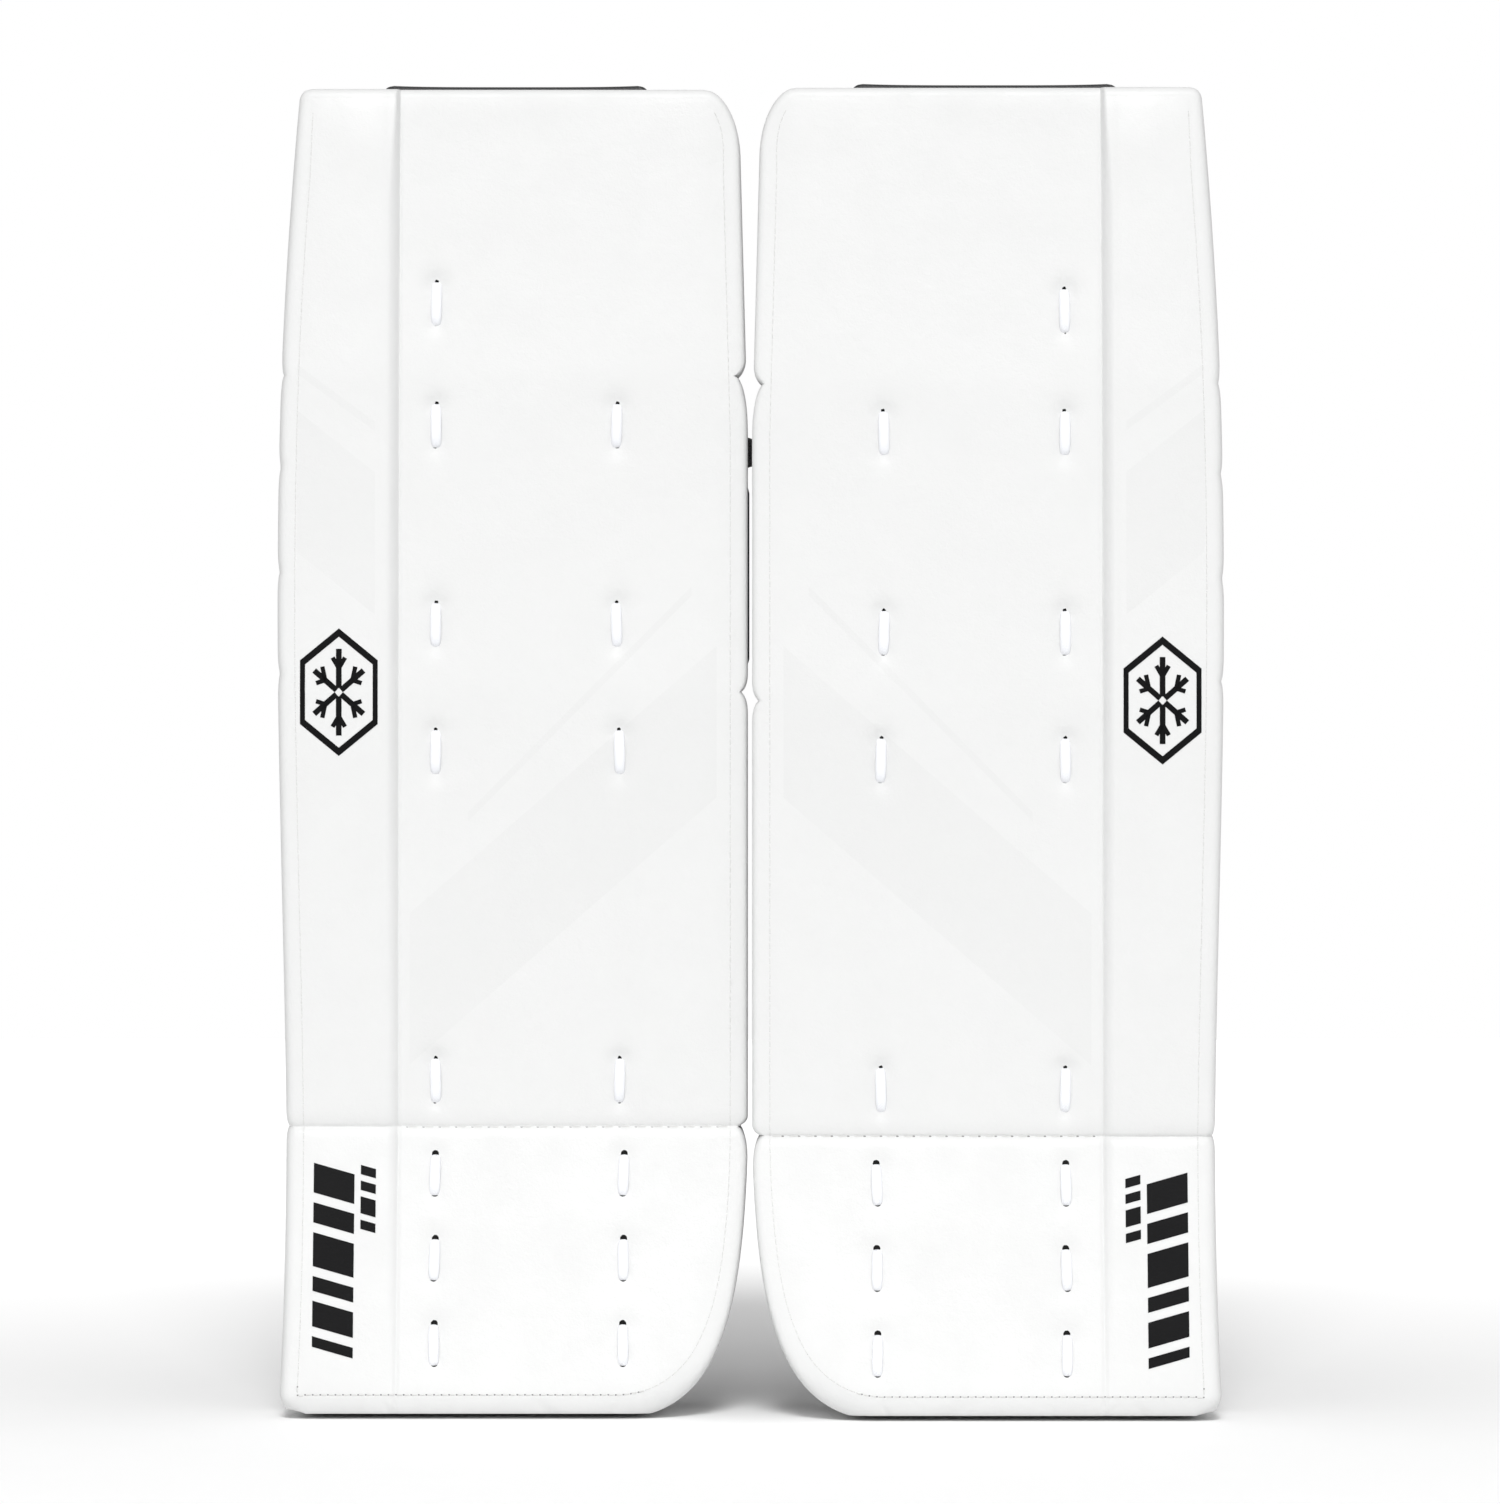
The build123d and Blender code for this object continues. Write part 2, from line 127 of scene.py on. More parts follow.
class Pad:
    """One pad: where its flex lines are, and how its own space maps to the frame."""

    def __init__(self, side):
        """Side is right or left, as the wearer has it."""
        self.side = side
        self.sign = -1.0 if side == "right" else 1.0
        self.line = {}
        self.hinge_y = {}
        for line in ("boot", "knee", "thigh"):
            place = JOINTS[f"{side}_{line}_flex"]["pos_m"]
            self.line[line] = place[2] / MM
            self.hinge_y[line] = place[1] / MM
        self.face = self.hinge_y["boot"]
        self.origin = {
            "boot": (0.0, self.line["boot"]),
            "shin": (0.0, self.line["boot"]),
            "knee": (0.0, self.line["knee"]),
            "thigh": (self.hinge_y["thigh"] - self.face, self.line["thigh"]),
        }

    def length(self, section):
        """How far a section reaches up its own face."""
        if section == "shin":
            return self.line["knee"] - self.line["boot"]
        if section == "knee":
            rise = self.line["thigh"] - self.line["knee"]
            return rise / math.cos(math.radians(LEAN["knee"]))
        return 0.0

    def name(self, part):
        """A node's, body's or piece's name on this pad."""
        return f"{self.side}_{part}"

    def world(self, points):
        """Pad points (u, y, z) as frame coordinates in metres."""
        points = np.asarray(points, float)
        out = points * MM
        out[..., 0] = points[..., 0] * self.sign * MM
        out[..., 1] = (points[..., 1] + self.face) * MM
        return out

    def in_section(self, section, points):
        """Points (u, y, z) of a section's own space as pad points."""
        points = np.asarray(points, float)
        lean = math.radians(LEAN[section])
        y, z = self.origin[section]
        out = points.copy()
        out[..., 1] = y + points[..., 1] * math.cos(lean) + points[..., 2] * math.sin(lean)
        out[..., 2] = z - points[..., 1] * math.sin(lean) + points[..., 2] * math.cos(lean)
        return out

    def leaning(self, z, lines, base):
        """Depth of a surface that leans with the sections above and below the flex lines."""
        boot = math.tan(math.radians(LEAN["boot"]))
        knee = math.tan(math.radians(LEAN["knee"]))
        thigh = math.tan(math.radians(LEAN["thigh"]))
        depth = base - boot * soft_ramp(lines["boot"] - z)
        depth = depth + knee * soft_ramp(z - lines["knee"])
        return depth + (thigh - knee) * soft_ramp(z - lines["thigh"])

    def face_y(self, z):
        """Depth of the flat face at a height."""
        return self.leaning(z, self.line, 0.0)

    def back_y(self, z):
        """Depth of the padding's back at a height."""
        lines = {name: self.line[name] - BACK_LINE_DROP[name] for name in self.line}
        return self.leaning(z, lines, DEPTH)


PADS = (Pad("right"), Pad("left"))


# ---------------------------------------------------------------- materials


class Nodes:
    """A node tree, with short calls for the nodes used here."""

    def __init__(self, tree):
        self.tree = tree

    def node(self, kind, settings=(), **inputs):
        """Adds a node. Inputs are values or other nodes' sockets."""
        node = self.tree.nodes.new(kind)
        for key, value in dict(settings).items():
            setattr(node, key, value)
        for key, value in inputs.items():
            self.feed(node.inputs[key.replace("_", " ")], value)
        return node

    def feed(self, socket, value):
        """Links a socket to another one, or sets its value."""
        if isinstance(value, bpy.types.NodeSocket):
            self.tree.links.new(value, socket)
        else:
            socket.default_value = value

    def math(self, operation, *values):
        """The result of a Math node."""
        node = self.tree.nodes.new("ShaderNodeMath")
        node.operation = operation
        for slot, value in zip(node.inputs, values):
            self.feed(slot, value)
        return node.outputs[0]

    def spread(self, value, low, high, start=0.0, end=1.0):
        """Maps start..end to low..high."""
        node = self.node("ShaderNodeMapRange", Value=value)
        node.inputs["From Min"].default_value = start
        node.inputs["From Max"].default_value = end
        node.inputs["To Min"].default_value = low
        node.inputs["To Max"].default_value = high
        return node.outputs[0]


class Graph(Nodes):
    """A material's node tree, round its Principled shader."""

    def __init__(self, name, color, roughness, **sockets):
        """Sockets are the shader's other inputs, with _ for a space in their names."""
        self.material = bpy.data.materials.new(name)
        self.material.use_nodes = True
        super().__init__(self.material.node_tree)
        self.shader = self.tree.nodes["Principled BSDF"]
        self.set("Base Color", (*color, 1.0))
        self.set("Roughness", roughness)
        for socket, value in sockets.items():
            self.set(socket.replace("_", " "), value)

    def set(self, socket, value):
        """Sets one of the shader's own sockets."""
        self.shader.inputs[socket].default_value = value

    def object_mm(self):
        """Object coordinates in millimetres."""
        coordinates = self.tree.nodes.new("ShaderNodeTexCoord")
        scale = self.node("ShaderNodeVectorMath", {"operation": "SCALE"})
        self.tree.links.new(coordinates.outputs["Object"], scale.inputs[0])
        scale.inputs["Scale"].default_value = 1.0 / MM
        return scale.outputs[0]

    def attribute(self, name):
        """A mesh attribute as a vector."""
        node = self.node("ShaderNodeAttribute", {"attribute_name": name})
        return node.outputs["Vector"]

    def noise(self, vector, scale, detail=2.0, roughness=0.5):
        """Soft noise from 0 to 1."""
        node = self.node(
            "ShaderNodeTexNoise", Vector=vector, Scale=scale, Detail=detail, Roughness=roughness
        )
        return node.outputs["Fac"]

    def cells(self, vector, scale):
        """Rounded cells, as in leather grain."""
        node = self.node("ShaderNodeTexVoronoi", {"feature": "SMOOTH_F1"}, Vector=vector, Scale=scale)
        return node.outputs["Distance"]

    def mix(self, factor, first, second):
        """A colour between two."""
        node = self.tree.nodes.new("ShaderNodeMix")
        node.data_type = "RGBA"
        self.feed(node.inputs[0], factor)
        self.feed(node.inputs[6], first)
        self.feed(node.inputs[7], second)
        return node.outputs[2]

    def bump(self, height, distance, normal=None):
        """Bump whose height of 1 stands distance millimetres out."""
        node = self.node("ShaderNodeBump", Height=height)
        node.inputs["Distance"].default_value = distance * MM
        if normal is not None:
            self.tree.links.new(normal, node.inputs["Normal"])
        return node.outputs[0]

    def output(self, socket, value):
        """Links a result to one of the shader's sockets."""
        self.tree.links.new(value, self.shader.inputs[socket])


WHITE = (0.745, 0.748, 0.745)
PRINT_GREY = (0.721, 0.724, 0.721)

# Printed stripes: u range, then the lower and upper edge as a height at u = 0 and a slope
STRIPES = (
    (179.5, 217.0, 338.0, 342.5, 0.74),
    (179.5, 217.0, 239.5, 307.5, 0.80),
    (28.0, 135.0, 420.5, 425.0, -1.01),
    (16.0, 163.0, 309.5, 382.0, -0.87),
)


def leather_surface(graph, vector):
    """Fine pebbled grain, faint wrinkles and an uneven gloss."""
    grain = graph.cells(vector, 1.15)
    fine = graph.noise(vector, 2.6, 3.0, 0.6)
    wrinkle = graph.noise(vector, 0.16, 4.0, 0.62)
    height = graph.math("MULTIPLY_ADD", fine, 0.35, grain)
    bumped = graph.bump(height, 0.055)
    bumped = graph.bump(wrinkle, 0.22, bumped)
    graph.output("Normal", bumped)
    patches = graph.noise(vector, 0.045, 3.0, 0.5)
    graph.output("Roughness", graph.spread(patches, 0.40, 0.56, 0.3, 0.7))
    return patches


def white_leather(name):
    """White coated leather for the outside of the wings and the boot's sides."""
    graph = Graph(name, WHITE, 0.48, Specular_IOR_Level=0.42)
    patches = leather_surface(graph, graph.object_mm())
    scuffed = tuple(0.965 * value for value in WHITE)
    graph.output("Base Color", graph.mix(graph.spread(patches, 0, 1, 0.35, 0.65), (*WHITE, 1), (*scuffed, 1)))
    return graph.material


def printed_leather():
    """The white skin, with its tone-on-tone stripes placed by the pad's own coordinates."""
    graph = Graph("pad_skin_leather", WHITE, 0.46, Specular_IOR_Level=0.42)
    vector = graph.attribute("pad_mm")
    patches = leather_surface(graph, vector)
    split = graph.node("ShaderNodeSeparateXYZ", Vector=vector)
    across = split.outputs[0]
    up = split.outputs[2]
    total = 0.0
    for start, end, low, high, slope in STRIPES:
        level = graph.math("SUBTRACT", up, graph.math("MULTIPLY", across, slope))
        band = graph.math("MULTIPLY", edge(graph, level, low), edge(graph, high, level))
        span = graph.math("MULTIPLY", edge(graph, across, start), edge(graph, end, across))
        total = graph.math("MAXIMUM", graph.math("MULTIPLY", band, span), total)
    scuffed = tuple(0.985 * value for value in WHITE)
    plain = graph.mix(graph.spread(patches, 0, 1, 0.35, 0.65), (*WHITE, 1), (*scuffed, 1))
    graph.output("Base Color", graph.mix(total, plain, (*PRINT_GREY, 1)))
    return graph.material


def edge(graph, above, below):
    """1 where above is more than below, with a fifth of a millimetre of softness."""
    rise = graph.math("SUBTRACT", above, below)
    node = graph.node("ShaderNodeMath", {"operation": "MULTIPLY_ADD", "use_clamp": True})
    graph.feed(node.inputs[0], rise)
    node.inputs[1].default_value = 5.0
    node.inputs[2].default_value = 0.5
    return node.outputs[0]


# ---------------------------------------------------------------- mesh helpers


def bezier(points, count):
    """A cubic Bezier curve as count points."""
    t = np.linspace(0.0, 1.0, count)[:, None]
    a, b, c, d = (np.array(point, float) for point in points)
    s = 1.0 - t
    return a * s**3 + 3 * b * s * s * t + 3 * c * s * t * t + d * t**3


def straight(start, end, count):
    """A straight run as count points."""
    t = np.linspace(0.0, 1.0, count)[:, None]
    return np.array(start, float) * (1.0 - t) + np.array(end, float) * t


def outer_edge(count):
    """The outer edge as a smooth curve through its points."""
    heights = np.array([height for height, _ in OUTER_EDGE])
    places = np.array([place for _, place in OUTER_EDGE])
    curve = np.polyfit(heights, places, len(heights) - 1)
    z = np.linspace(heights[0], heights[-1], count)
    return np.stack([np.polyval(curve, z), z], axis=1)


def silhouette():
    """The pad's outline as one closed run, and where its bottom and top runs begin and end."""
    runs = [
        straight((62.0, 0.0), (211.0, 0.0), 120),
        bezier(BOTTOM_OUTER_CORNER, 40),
        outer_edge(400),
        bezier(TOP_OUTER_CORNER, 30),
        straight(TOP_OUTER_CORNER[-1], TOP_INNER_CORNER[0], 120),
        bezier(TOP_INNER_CORNER, 90),
        straight(INNER_EDGE[0], INNER_EDGE[1], 100),
        straight(INNER_EDGE[1], INNER_EDGE[2], 240),
        bezier(TOE_CURVE, 200),
    ]
    points = [runs[0]] + [run[1:] for run in runs[1:]]
    ends = np.cumsum([len(run) for run in points]) - 1
    return np.concatenate(points)[:-1], (int(ends[0]), int(ends[3]), int(ends[4]))


OUTLINE, RUN_ENDS = silhouette()


def smooth_loop(values, rounds):
    """Evens out a closed run of values."""
    for _ in range(rounds):
        values = (np.roll(values, 1, axis=0) + 2 * values + np.roll(values, -1, axis=0)) / 4
    return values


def outline_normals():
    """Outward normals of the outline, evened out over its corners."""
    along = np.roll(OUTLINE, -1, axis=0) - np.roll(OUTLINE, 1, axis=0)
    out = np.stack([along[:, 1], -along[:, 0]], axis=1)
    out = smooth_loop(out / np.linalg.norm(out, axis=1)[:, None], 12)
    return out / np.linalg.norm(out, axis=1)[:, None]


NORMALS = outline_normals()


def by_side(values):
    """A width for each outline point, from its values at the bottom, inside, top and outside."""
    up = NORMALS[:, 1]
    width = np.where(NORMALS[:, 0] < 0, values["inner"], values["outer"])
    width = width + (values["top"] - width) * smooth((up - 0.1) / 0.8)
    near_top = smooth((OUTLINE[:, 1] - (PAD_TOP - 45.0)) / 45.0)
    width = np.minimum(width, width + (values["top"] + 1.0 - width) * near_top)
    low = np.maximum(smooth((-up - 0.05) / 0.9), 0.7 * smooth(1.0 - OUTLINE[:, 1] / 70.0))
    low = np.where(NORMALS[:, 0] < 0, low, smooth((-up - 0.05) / 0.9))
    width = width + (values["bottom"] - width) * low
    return smooth_loop(width[:, None], 40)[:, 0]


class Rim:
    """The outline drawn in by a width, and its four runs as indices."""

    def __init__(self, width):
        """Width is the distance of the rim from the outline, at each of its points."""
        bottom_end, top_start, top_end = RUN_ENDS
        self.inside = OUTLINE - NORMALS * width[:, None]
        self.low = width[bottom_end // 2]
        self.high = PAD_TOP - width[(top_start + top_end) // 2]
        self.inside[: bottom_end + 1, 1] = self.low
        self.inside[top_start : top_end + 1, 1] = self.high
        self.inside[:, 1] = np.clip(self.inside[:, 1], self.low, self.high)
        self.bottom = self.span(0, bottom_end, len(width))
        self.outer = self.span(bottom_end, top_start, len(width))
        self.top = self.span(top_start, top_end, len(width))
        self.inner = self.span(top_end, 0, len(width))

    @staticmethod
    def span(first, last, count):
        """Indices from first to last round the loop."""
        if last < first:
            last += count
        return np.arange(first, last + 1) % count

    def at(self, run, axis, places):
        """Fractional outline positions where a run's coordinate has the given values."""
        values = self.inside[run, axis]
        order = np.arange(len(run), dtype=float)
        if values[0] > values[-1]:
            values = values[::-1]
            order = order[::-1]
        values = np.maximum.accumulate(values)
        return np.interp(places, values, order)

    def pick(self, run, spots, table):
        """Table rows at fractional positions along a run."""
        base = np.clip(np.floor(spots).astype(int), 0, len(run) - 2)
        share = (spots - base)[:, None]
        table = table[run]
        return table[base] * (1.0 - share) + table[base + 1] * share


def graded(start, stop, base, spots):
    """Numbers from start to stop, base apart, and closer near each (place, reach, fine) spot."""
    values = [start]
    while values[-1] < stop:
        here = values[-1]
        step = base
        for place, reach, fine in spots:
            away = max(0.0, abs(here - place) - reach)
            step = min(step, fine + 0.22 * away)
        values.append(here + step)
    values = np.array(values)
    return start + (values - start) * (stop - start) / (values[-1] - start)


def grid_faces(indices):
    """Quads over a 2-D array of vertex indices."""
    a = indices[:-1, :-1].ravel()
    b = indices[:-1, 1:].ravel()
    c = indices[1:, 1:].ravel()
    d = indices[1:, :-1].ravel()
    return np.stack([a, b, c, d], axis=1)


def vertex_normals(points, faces):
    """Area-weighted normals of a mesh of quads."""
    first = points[faces[:, 2]] - points[faces[:, 0]]
    second = points[faces[:, 3]] - points[faces[:, 1]]
    flat = np.cross(first, second)
    out = np.zeros_like(points)
    for corner in range(4):
        np.add.at(out, faces[:, corner], flat)
    length = np.linalg.norm(out, axis=1)
    length[length == 0] = 1.0
    return out / length[:, None]


def make_mesh(name, points, faces, materials, rest=None, choice=None, normals=None):
    """A smooth mesh object in the frame. Rest is kept as an attribute for the materials."""
    mesh = bpy.data.meshes.new(name)
    if isinstance(faces, np.ndarray):
        faces = faces.tolist()
    mesh.from_pydata(np.asarray(points).tolist(), [], faces)
    for material in materials:
        mesh.materials.append(material)
    mesh.polygons.foreach_set("use_smooth", [True] * len(mesh.polygons))
    if choice is not None:
        mesh.polygons.foreach_set("material_index", np.asarray(choice, int).tolist())
    if rest is not None:
        layer = mesh.attributes.new("pad_mm", "FLOAT_VECTOR", "POINT")
        layer.data.foreach_set("vector", np.asarray(rest, np.float32).ravel())
    mesh.validate()
    mesh.update()
    if normals is not None:
        mesh.normals_split_custom_set_from_vertices(np.asarray(normals).tolist())
    piece = bpy.data.objects.new(name, mesh)
    bpy.context.scene.collection.objects.link(piece)
    return piece


def turned(pad, faces):
    """Faces wound so that they look outwards: the right pad is a mirror image."""
    return flipped(faces) if pad.sign < 0 else faces


def flipped(faces):
    """Faces wound the other way."""
    return faces[:, ::-1] if isinstance(faces, np.ndarray) else [face[::-1] for face in faces]


def joined(groups):
    """(points, faces) pairs as the points and faces of one mesh."""
    points, faces = [], []
    count = 0
    for own, rows in groups:
        points.append(own)
        faces += [[int(corner) + count for corner in face] for face in rows]
        count += len(own)
    return np.concatenate(points), faces


def only_used(points, faces):
    """Numbers of the points that faces use, and the faces renumbered to suit."""
    used = np.unique(faces)
    lookup = np.zeros(len(points), int)
    lookup[used] = np.arange(len(used))
    return used, lookup[faces]


# ---------------------------------------------------------------- the white skins

FACE_RIM = Rim(by_side(SIDE_SHOWS))
BACK_INSET = 3.4
BACK_RIM = Rim(np.full(len(OUTLINE), BACK_INSET))
EDGE_DROP = {"bottom": 0.5, "inner": 0.9, "top": 0.3, "outer": 0.3}
EDGE_DROP_REACH = {"bottom": 6.0, "inner": 21.0, "top": 7.0, "outer": 7.0}
SEAM_SHOWS = {"bottom": 1.0, "inner": 0.15, "top": 0.0, "outer": 0.15}
SIDE_POWERS = {"bottom": 1.0, "inner": 2.4, "top": 1.1, "outer": 1.7}
SIDE_PUFFS = {"bottom": 0.35, "inner": 0.08, "top": 0.0, "outer": 0.08}
SEAM_DEPTH = 0.22
SEAM_HALF = 1.1
COLUMN_KNOTS = (8.0, 78.0, 196.0, 216.8)
EDGE_POWER = 2.2
SOLE_LIFT = 2.6
# Creases in the bottom strip: where each starts, how far it slants, and its depth
STRIP_CREASES = (
    (181.0, 9.0, 0.9),
    (176.0, -7.0, 0.5),
    (104.0, -14.0, 0.9),
    (140.0, 6.0, 0.4),
    (60.0, 8.0, 0.5),
)
BOOT_END_ROUND = 5.5
SHIN_END_ROUND = 9.0
SPLITS = {"lower": ("boot", "shin", "boot"), "middle": ("shin", "knee", "knee"),
          "upper": ("knee", "thigh", "thigh")}


def lace_places(pad, section):
    """(across, upper end) of each lace in a section's own space."""
    places = []
    for top in LACE_TOPS[section]:
        if top < 0 and section != "boot":
            top = pad.length(section) + top
        places.append((OUTER_LACES, top))
        if section in INNER_LACES:
            places.append((INNER_LACES[section], top))
    return places


def section_height(pad, section, height):
    """The pad height of a point on a section's face."""
    return float(pad.in_section(section, np.array([0.0, 0.0, height]))[2])


def pad_rows(pad, rim, base, fine):
    """Heights of the rows of a surface over the whole pad, closer at the creases and ends."""
    spots = [(rim.low, 1.0, 0.25 * fine), (rim.high, 1.0, 0.3 * fine)]
    spots.append((pad.line["boot"], 3.0, 0.5 * fine))
    spots.append((pad.line["knee"], 4.0, 1.0 * fine))
    spots.append((pad.line["thigh"], 4.0, 1.0 * fine))
    for section in LACE_TOPS:
        for _, top in lace_places(pad, section):
            spots.append((section_height(pad, section, top), 3.0, 1.1 * fine))
    return graded(rim.low, rim.high, base, spots)


def across_row(rim, columns, z):
    """Places across for each row: columns keep still in the middle and meet the rim at its ends."""
    low = rim.pick(rim.inner, rim.at(rim.inner, 1, z), rim.inside)[:, 0]
    high = rim.pick(rim.outer, rim.at(rim.outer, 1, z), rim.inside)[:, 0]
    rows = []
    for start, end in zip(low, high):
        knots = (start, COLUMN_KNOTS[1], COLUMN_KNOTS[2], end)
        rows.append(np.interp(columns, COLUMN_KNOTS, knots))
    return np.array(rows)


def nearest_rim(rim, points):
    """Distance to the rim, and the index of the nearest rim point."""
    loop = rim.inside
    ahead = np.roll(loop, -1, axis=0)
    away = np.zeros(len(points))
    index = np.zeros(len(points), int)
    for start in range(0, len(points), 4000):
        block = points[start : start + 4000]
        gap = block[:, None, :] - loop[None, :, :]
        found = np.argmin((gap * gap).sum(2), axis=1)
        best = np.full(len(block), 1e9)
        for shift in (0, -1):
            a = loop[(found + shift) % len(loop)]
            b = ahead[(found + shift) % len(loop)]
            run = b - a
            share = ((block - a) * run).sum(1) / np.maximum((run * run).sum(1), 1e-9)
            foot = a + run * np.clip(share, 0, 1)[:, None]
            best = np.minimum(best, np.linalg.norm(block - foot, axis=1))
        away[start : start + 4000] = best
        index[start : start + 4000] = found
    return away, index


EDGE_TABLES = [by_side(values) for values in (EDGE_DROP, EDGE_DROP_REACH, SEAM_SHOWS, SIDE_ROUNDS)]
SIDE_POWER_TABLE = by_side(SIDE_POWERS)
SIDE_PUFF_TABLE = by_side(SIDE_PUFFS)


def roll_lift(pad, u, z):
    """How far the outer roll stands in front of the flat face."""
    above = z - pad.line["boot"]
    full = LOW_ROLL_RISE + (ROLL_RISE - LOW_ROLL_RISE) * smooth(above / 260.0)
    end = (LOW_ROLL_RISE - BOOT_ROLL_RISE) * pillow(above, ROLL_END_ROUND)
    boot = BOOT_ROLL_RISE * np.clip((z - 12.0) / (pad.line["boot"] - 12.0), 0.0, 1.0) ** 0.8
    rise = np.where(above >= 0, full - end, boot)
    toward = 1.0 - np.clip((PAD_TOP + 2.0 - z) / ROLL_TOP_FADE, 0.0, 1.0)
    rise = rise * (1.0 - 0.3 * toward**2.0)
    slope = ROLL_SLOPE * (0.35 + 0.65 * smooth((PAD_TOP - z) / 60.0))
    left = 1.0 - np.clip((u - VALLEY) / slope, 0.0, 1.0)
    crown = 0.9 * np.sin(np.pi * np.clip((u - VALLEY) / 48.0, 0.0, 1.0))
    return rise * (1.0 - left**1.7) + crown * (u > VALLEY) * np.clip(rise / ROLL_RISE, 0, 1)


def dimples(pad, u, z):
    """How far the laces pull the face in."""
    depth = np.zeros_like(u)
    for section in LACE_TOPS:
        for across, top in lace_places(pad, section):
            upper = section_height(pad, section, top)
            middle = upper - LACE_LENGTH[section] / 2
            strong = 0.55 if section == "boot" else 1.35
            du = u - across
            trough = np.exp(-((du / 6.5) ** 2) - ((z - middle) / 13.0) ** 2)
            pinch = np.exp(-((du / 5.5) ** 2) - ((z - upper) / 5.0) ** 2)
            lower = np.exp(-((du / 4.5) ** 2) - ((z - upper + LACE_LENGTH[section]) / 4.0) ** 2)
            depth = depth + strong * (0.9 * trough + 1.5 * pinch + 0.7 * lower)
    return np.minimum(depth, 3.2)


def softness(u, z):
    """The slight unevenness of a stuffed face."""
    broad = np.sin(u / 31.0 + 0.7) * np.sin(z / 47.0 + 1.9)
    small = np.sin(u / 12.0 + z / 23.0 + 0.4) * np.sin(z / 15.0 - u / 37.0)
    return 0.45 * broad + 0.14 * small


def seam_crease(pad, z):
    """The boot seam across the face: the shin's round end above, the boot's flatter one below."""
    above = z - pad.line["boot"]
    reach = np.where(above >= 0, SHIN_END_ROUND, BOOT_END_ROUND)
    return BOOT_SEAM_DEPTH * pillow(above / reach, 1.0)


def skin_depth(pad, u, z):
    """Depth of the finished front surface."""
    flat = np.stack([u.ravel(), z.ravel()], axis=1)
    away, index = nearest_rim(FACE_RIM, flat)
    away = away.reshape(u.shape)
    index = index.reshape(u.shape)
    drop, reach, seam, _ = EDGE_TABLES
    edge_share = 1.0 - np.clip(away / reach[index], 0.0, 1.0)
    depth = pad.face_y(z) - roll_lift(pad, u, z)
    depth = depth + drop[index] * edge_share**EDGE_POWER
    depth = depth + seam[index] * SEAM_DEPTH * np.exp(-((away / SEAM_HALF) ** 2))
    depth = depth + dimples(pad, u, z) + seam_crease(pad, z)
    valley = np.exp(-(((u - VALLEY) / 1.1) ** 2)) * smooth((PAD_TOP - z) / 24.0)
    ridge = np.exp(-(((u - VALLEY - ROLL_SLOPE - 3.5) / 2.2) ** 2)) * (z > pad.line["boot"])
    depth = depth + 0.55 * valley - 0.25 * ridge
    return depth - softness(u, z) * smooth(away / 18.0)


def notch(pad, z):
    """How far the flex lines cut into the inner edge."""
    cut = np.zeros_like(z)
    for line, (deep, above, below) in NOTCHES.items():
        gap = z - pad.line[line]
        reach = np.where(gap >= 0, above, below)
        cut = np.maximum(cut, deep * pillow(gap / reach, 1.0))
    return cut


def pinch(pad, z):
    """The small gathers down the outer edge."""
    cut = np.zeros_like(z)
    for offset in OUTER_PINCHES:
        cut = np.maximum(cut, 1.3 * pillow(z - pad.line["thigh"] - offset, 12.0))
    return np.maximum(cut, 1.6 * pillow(z - pad.line["boot"], 8.0))


def strip_creases(u, share):
    """The short slanting creases in the bottom strip."""
    depth = np.zeros_like(u)
    for place, slant, deep in STRIP_CREASES:
        depth = depth + deep * np.exp(-(((u - place - slant * share) / 1.5) ** 2))
    return depth * np.sin(np.pi * np.clip(share, 0.0, 1.0))


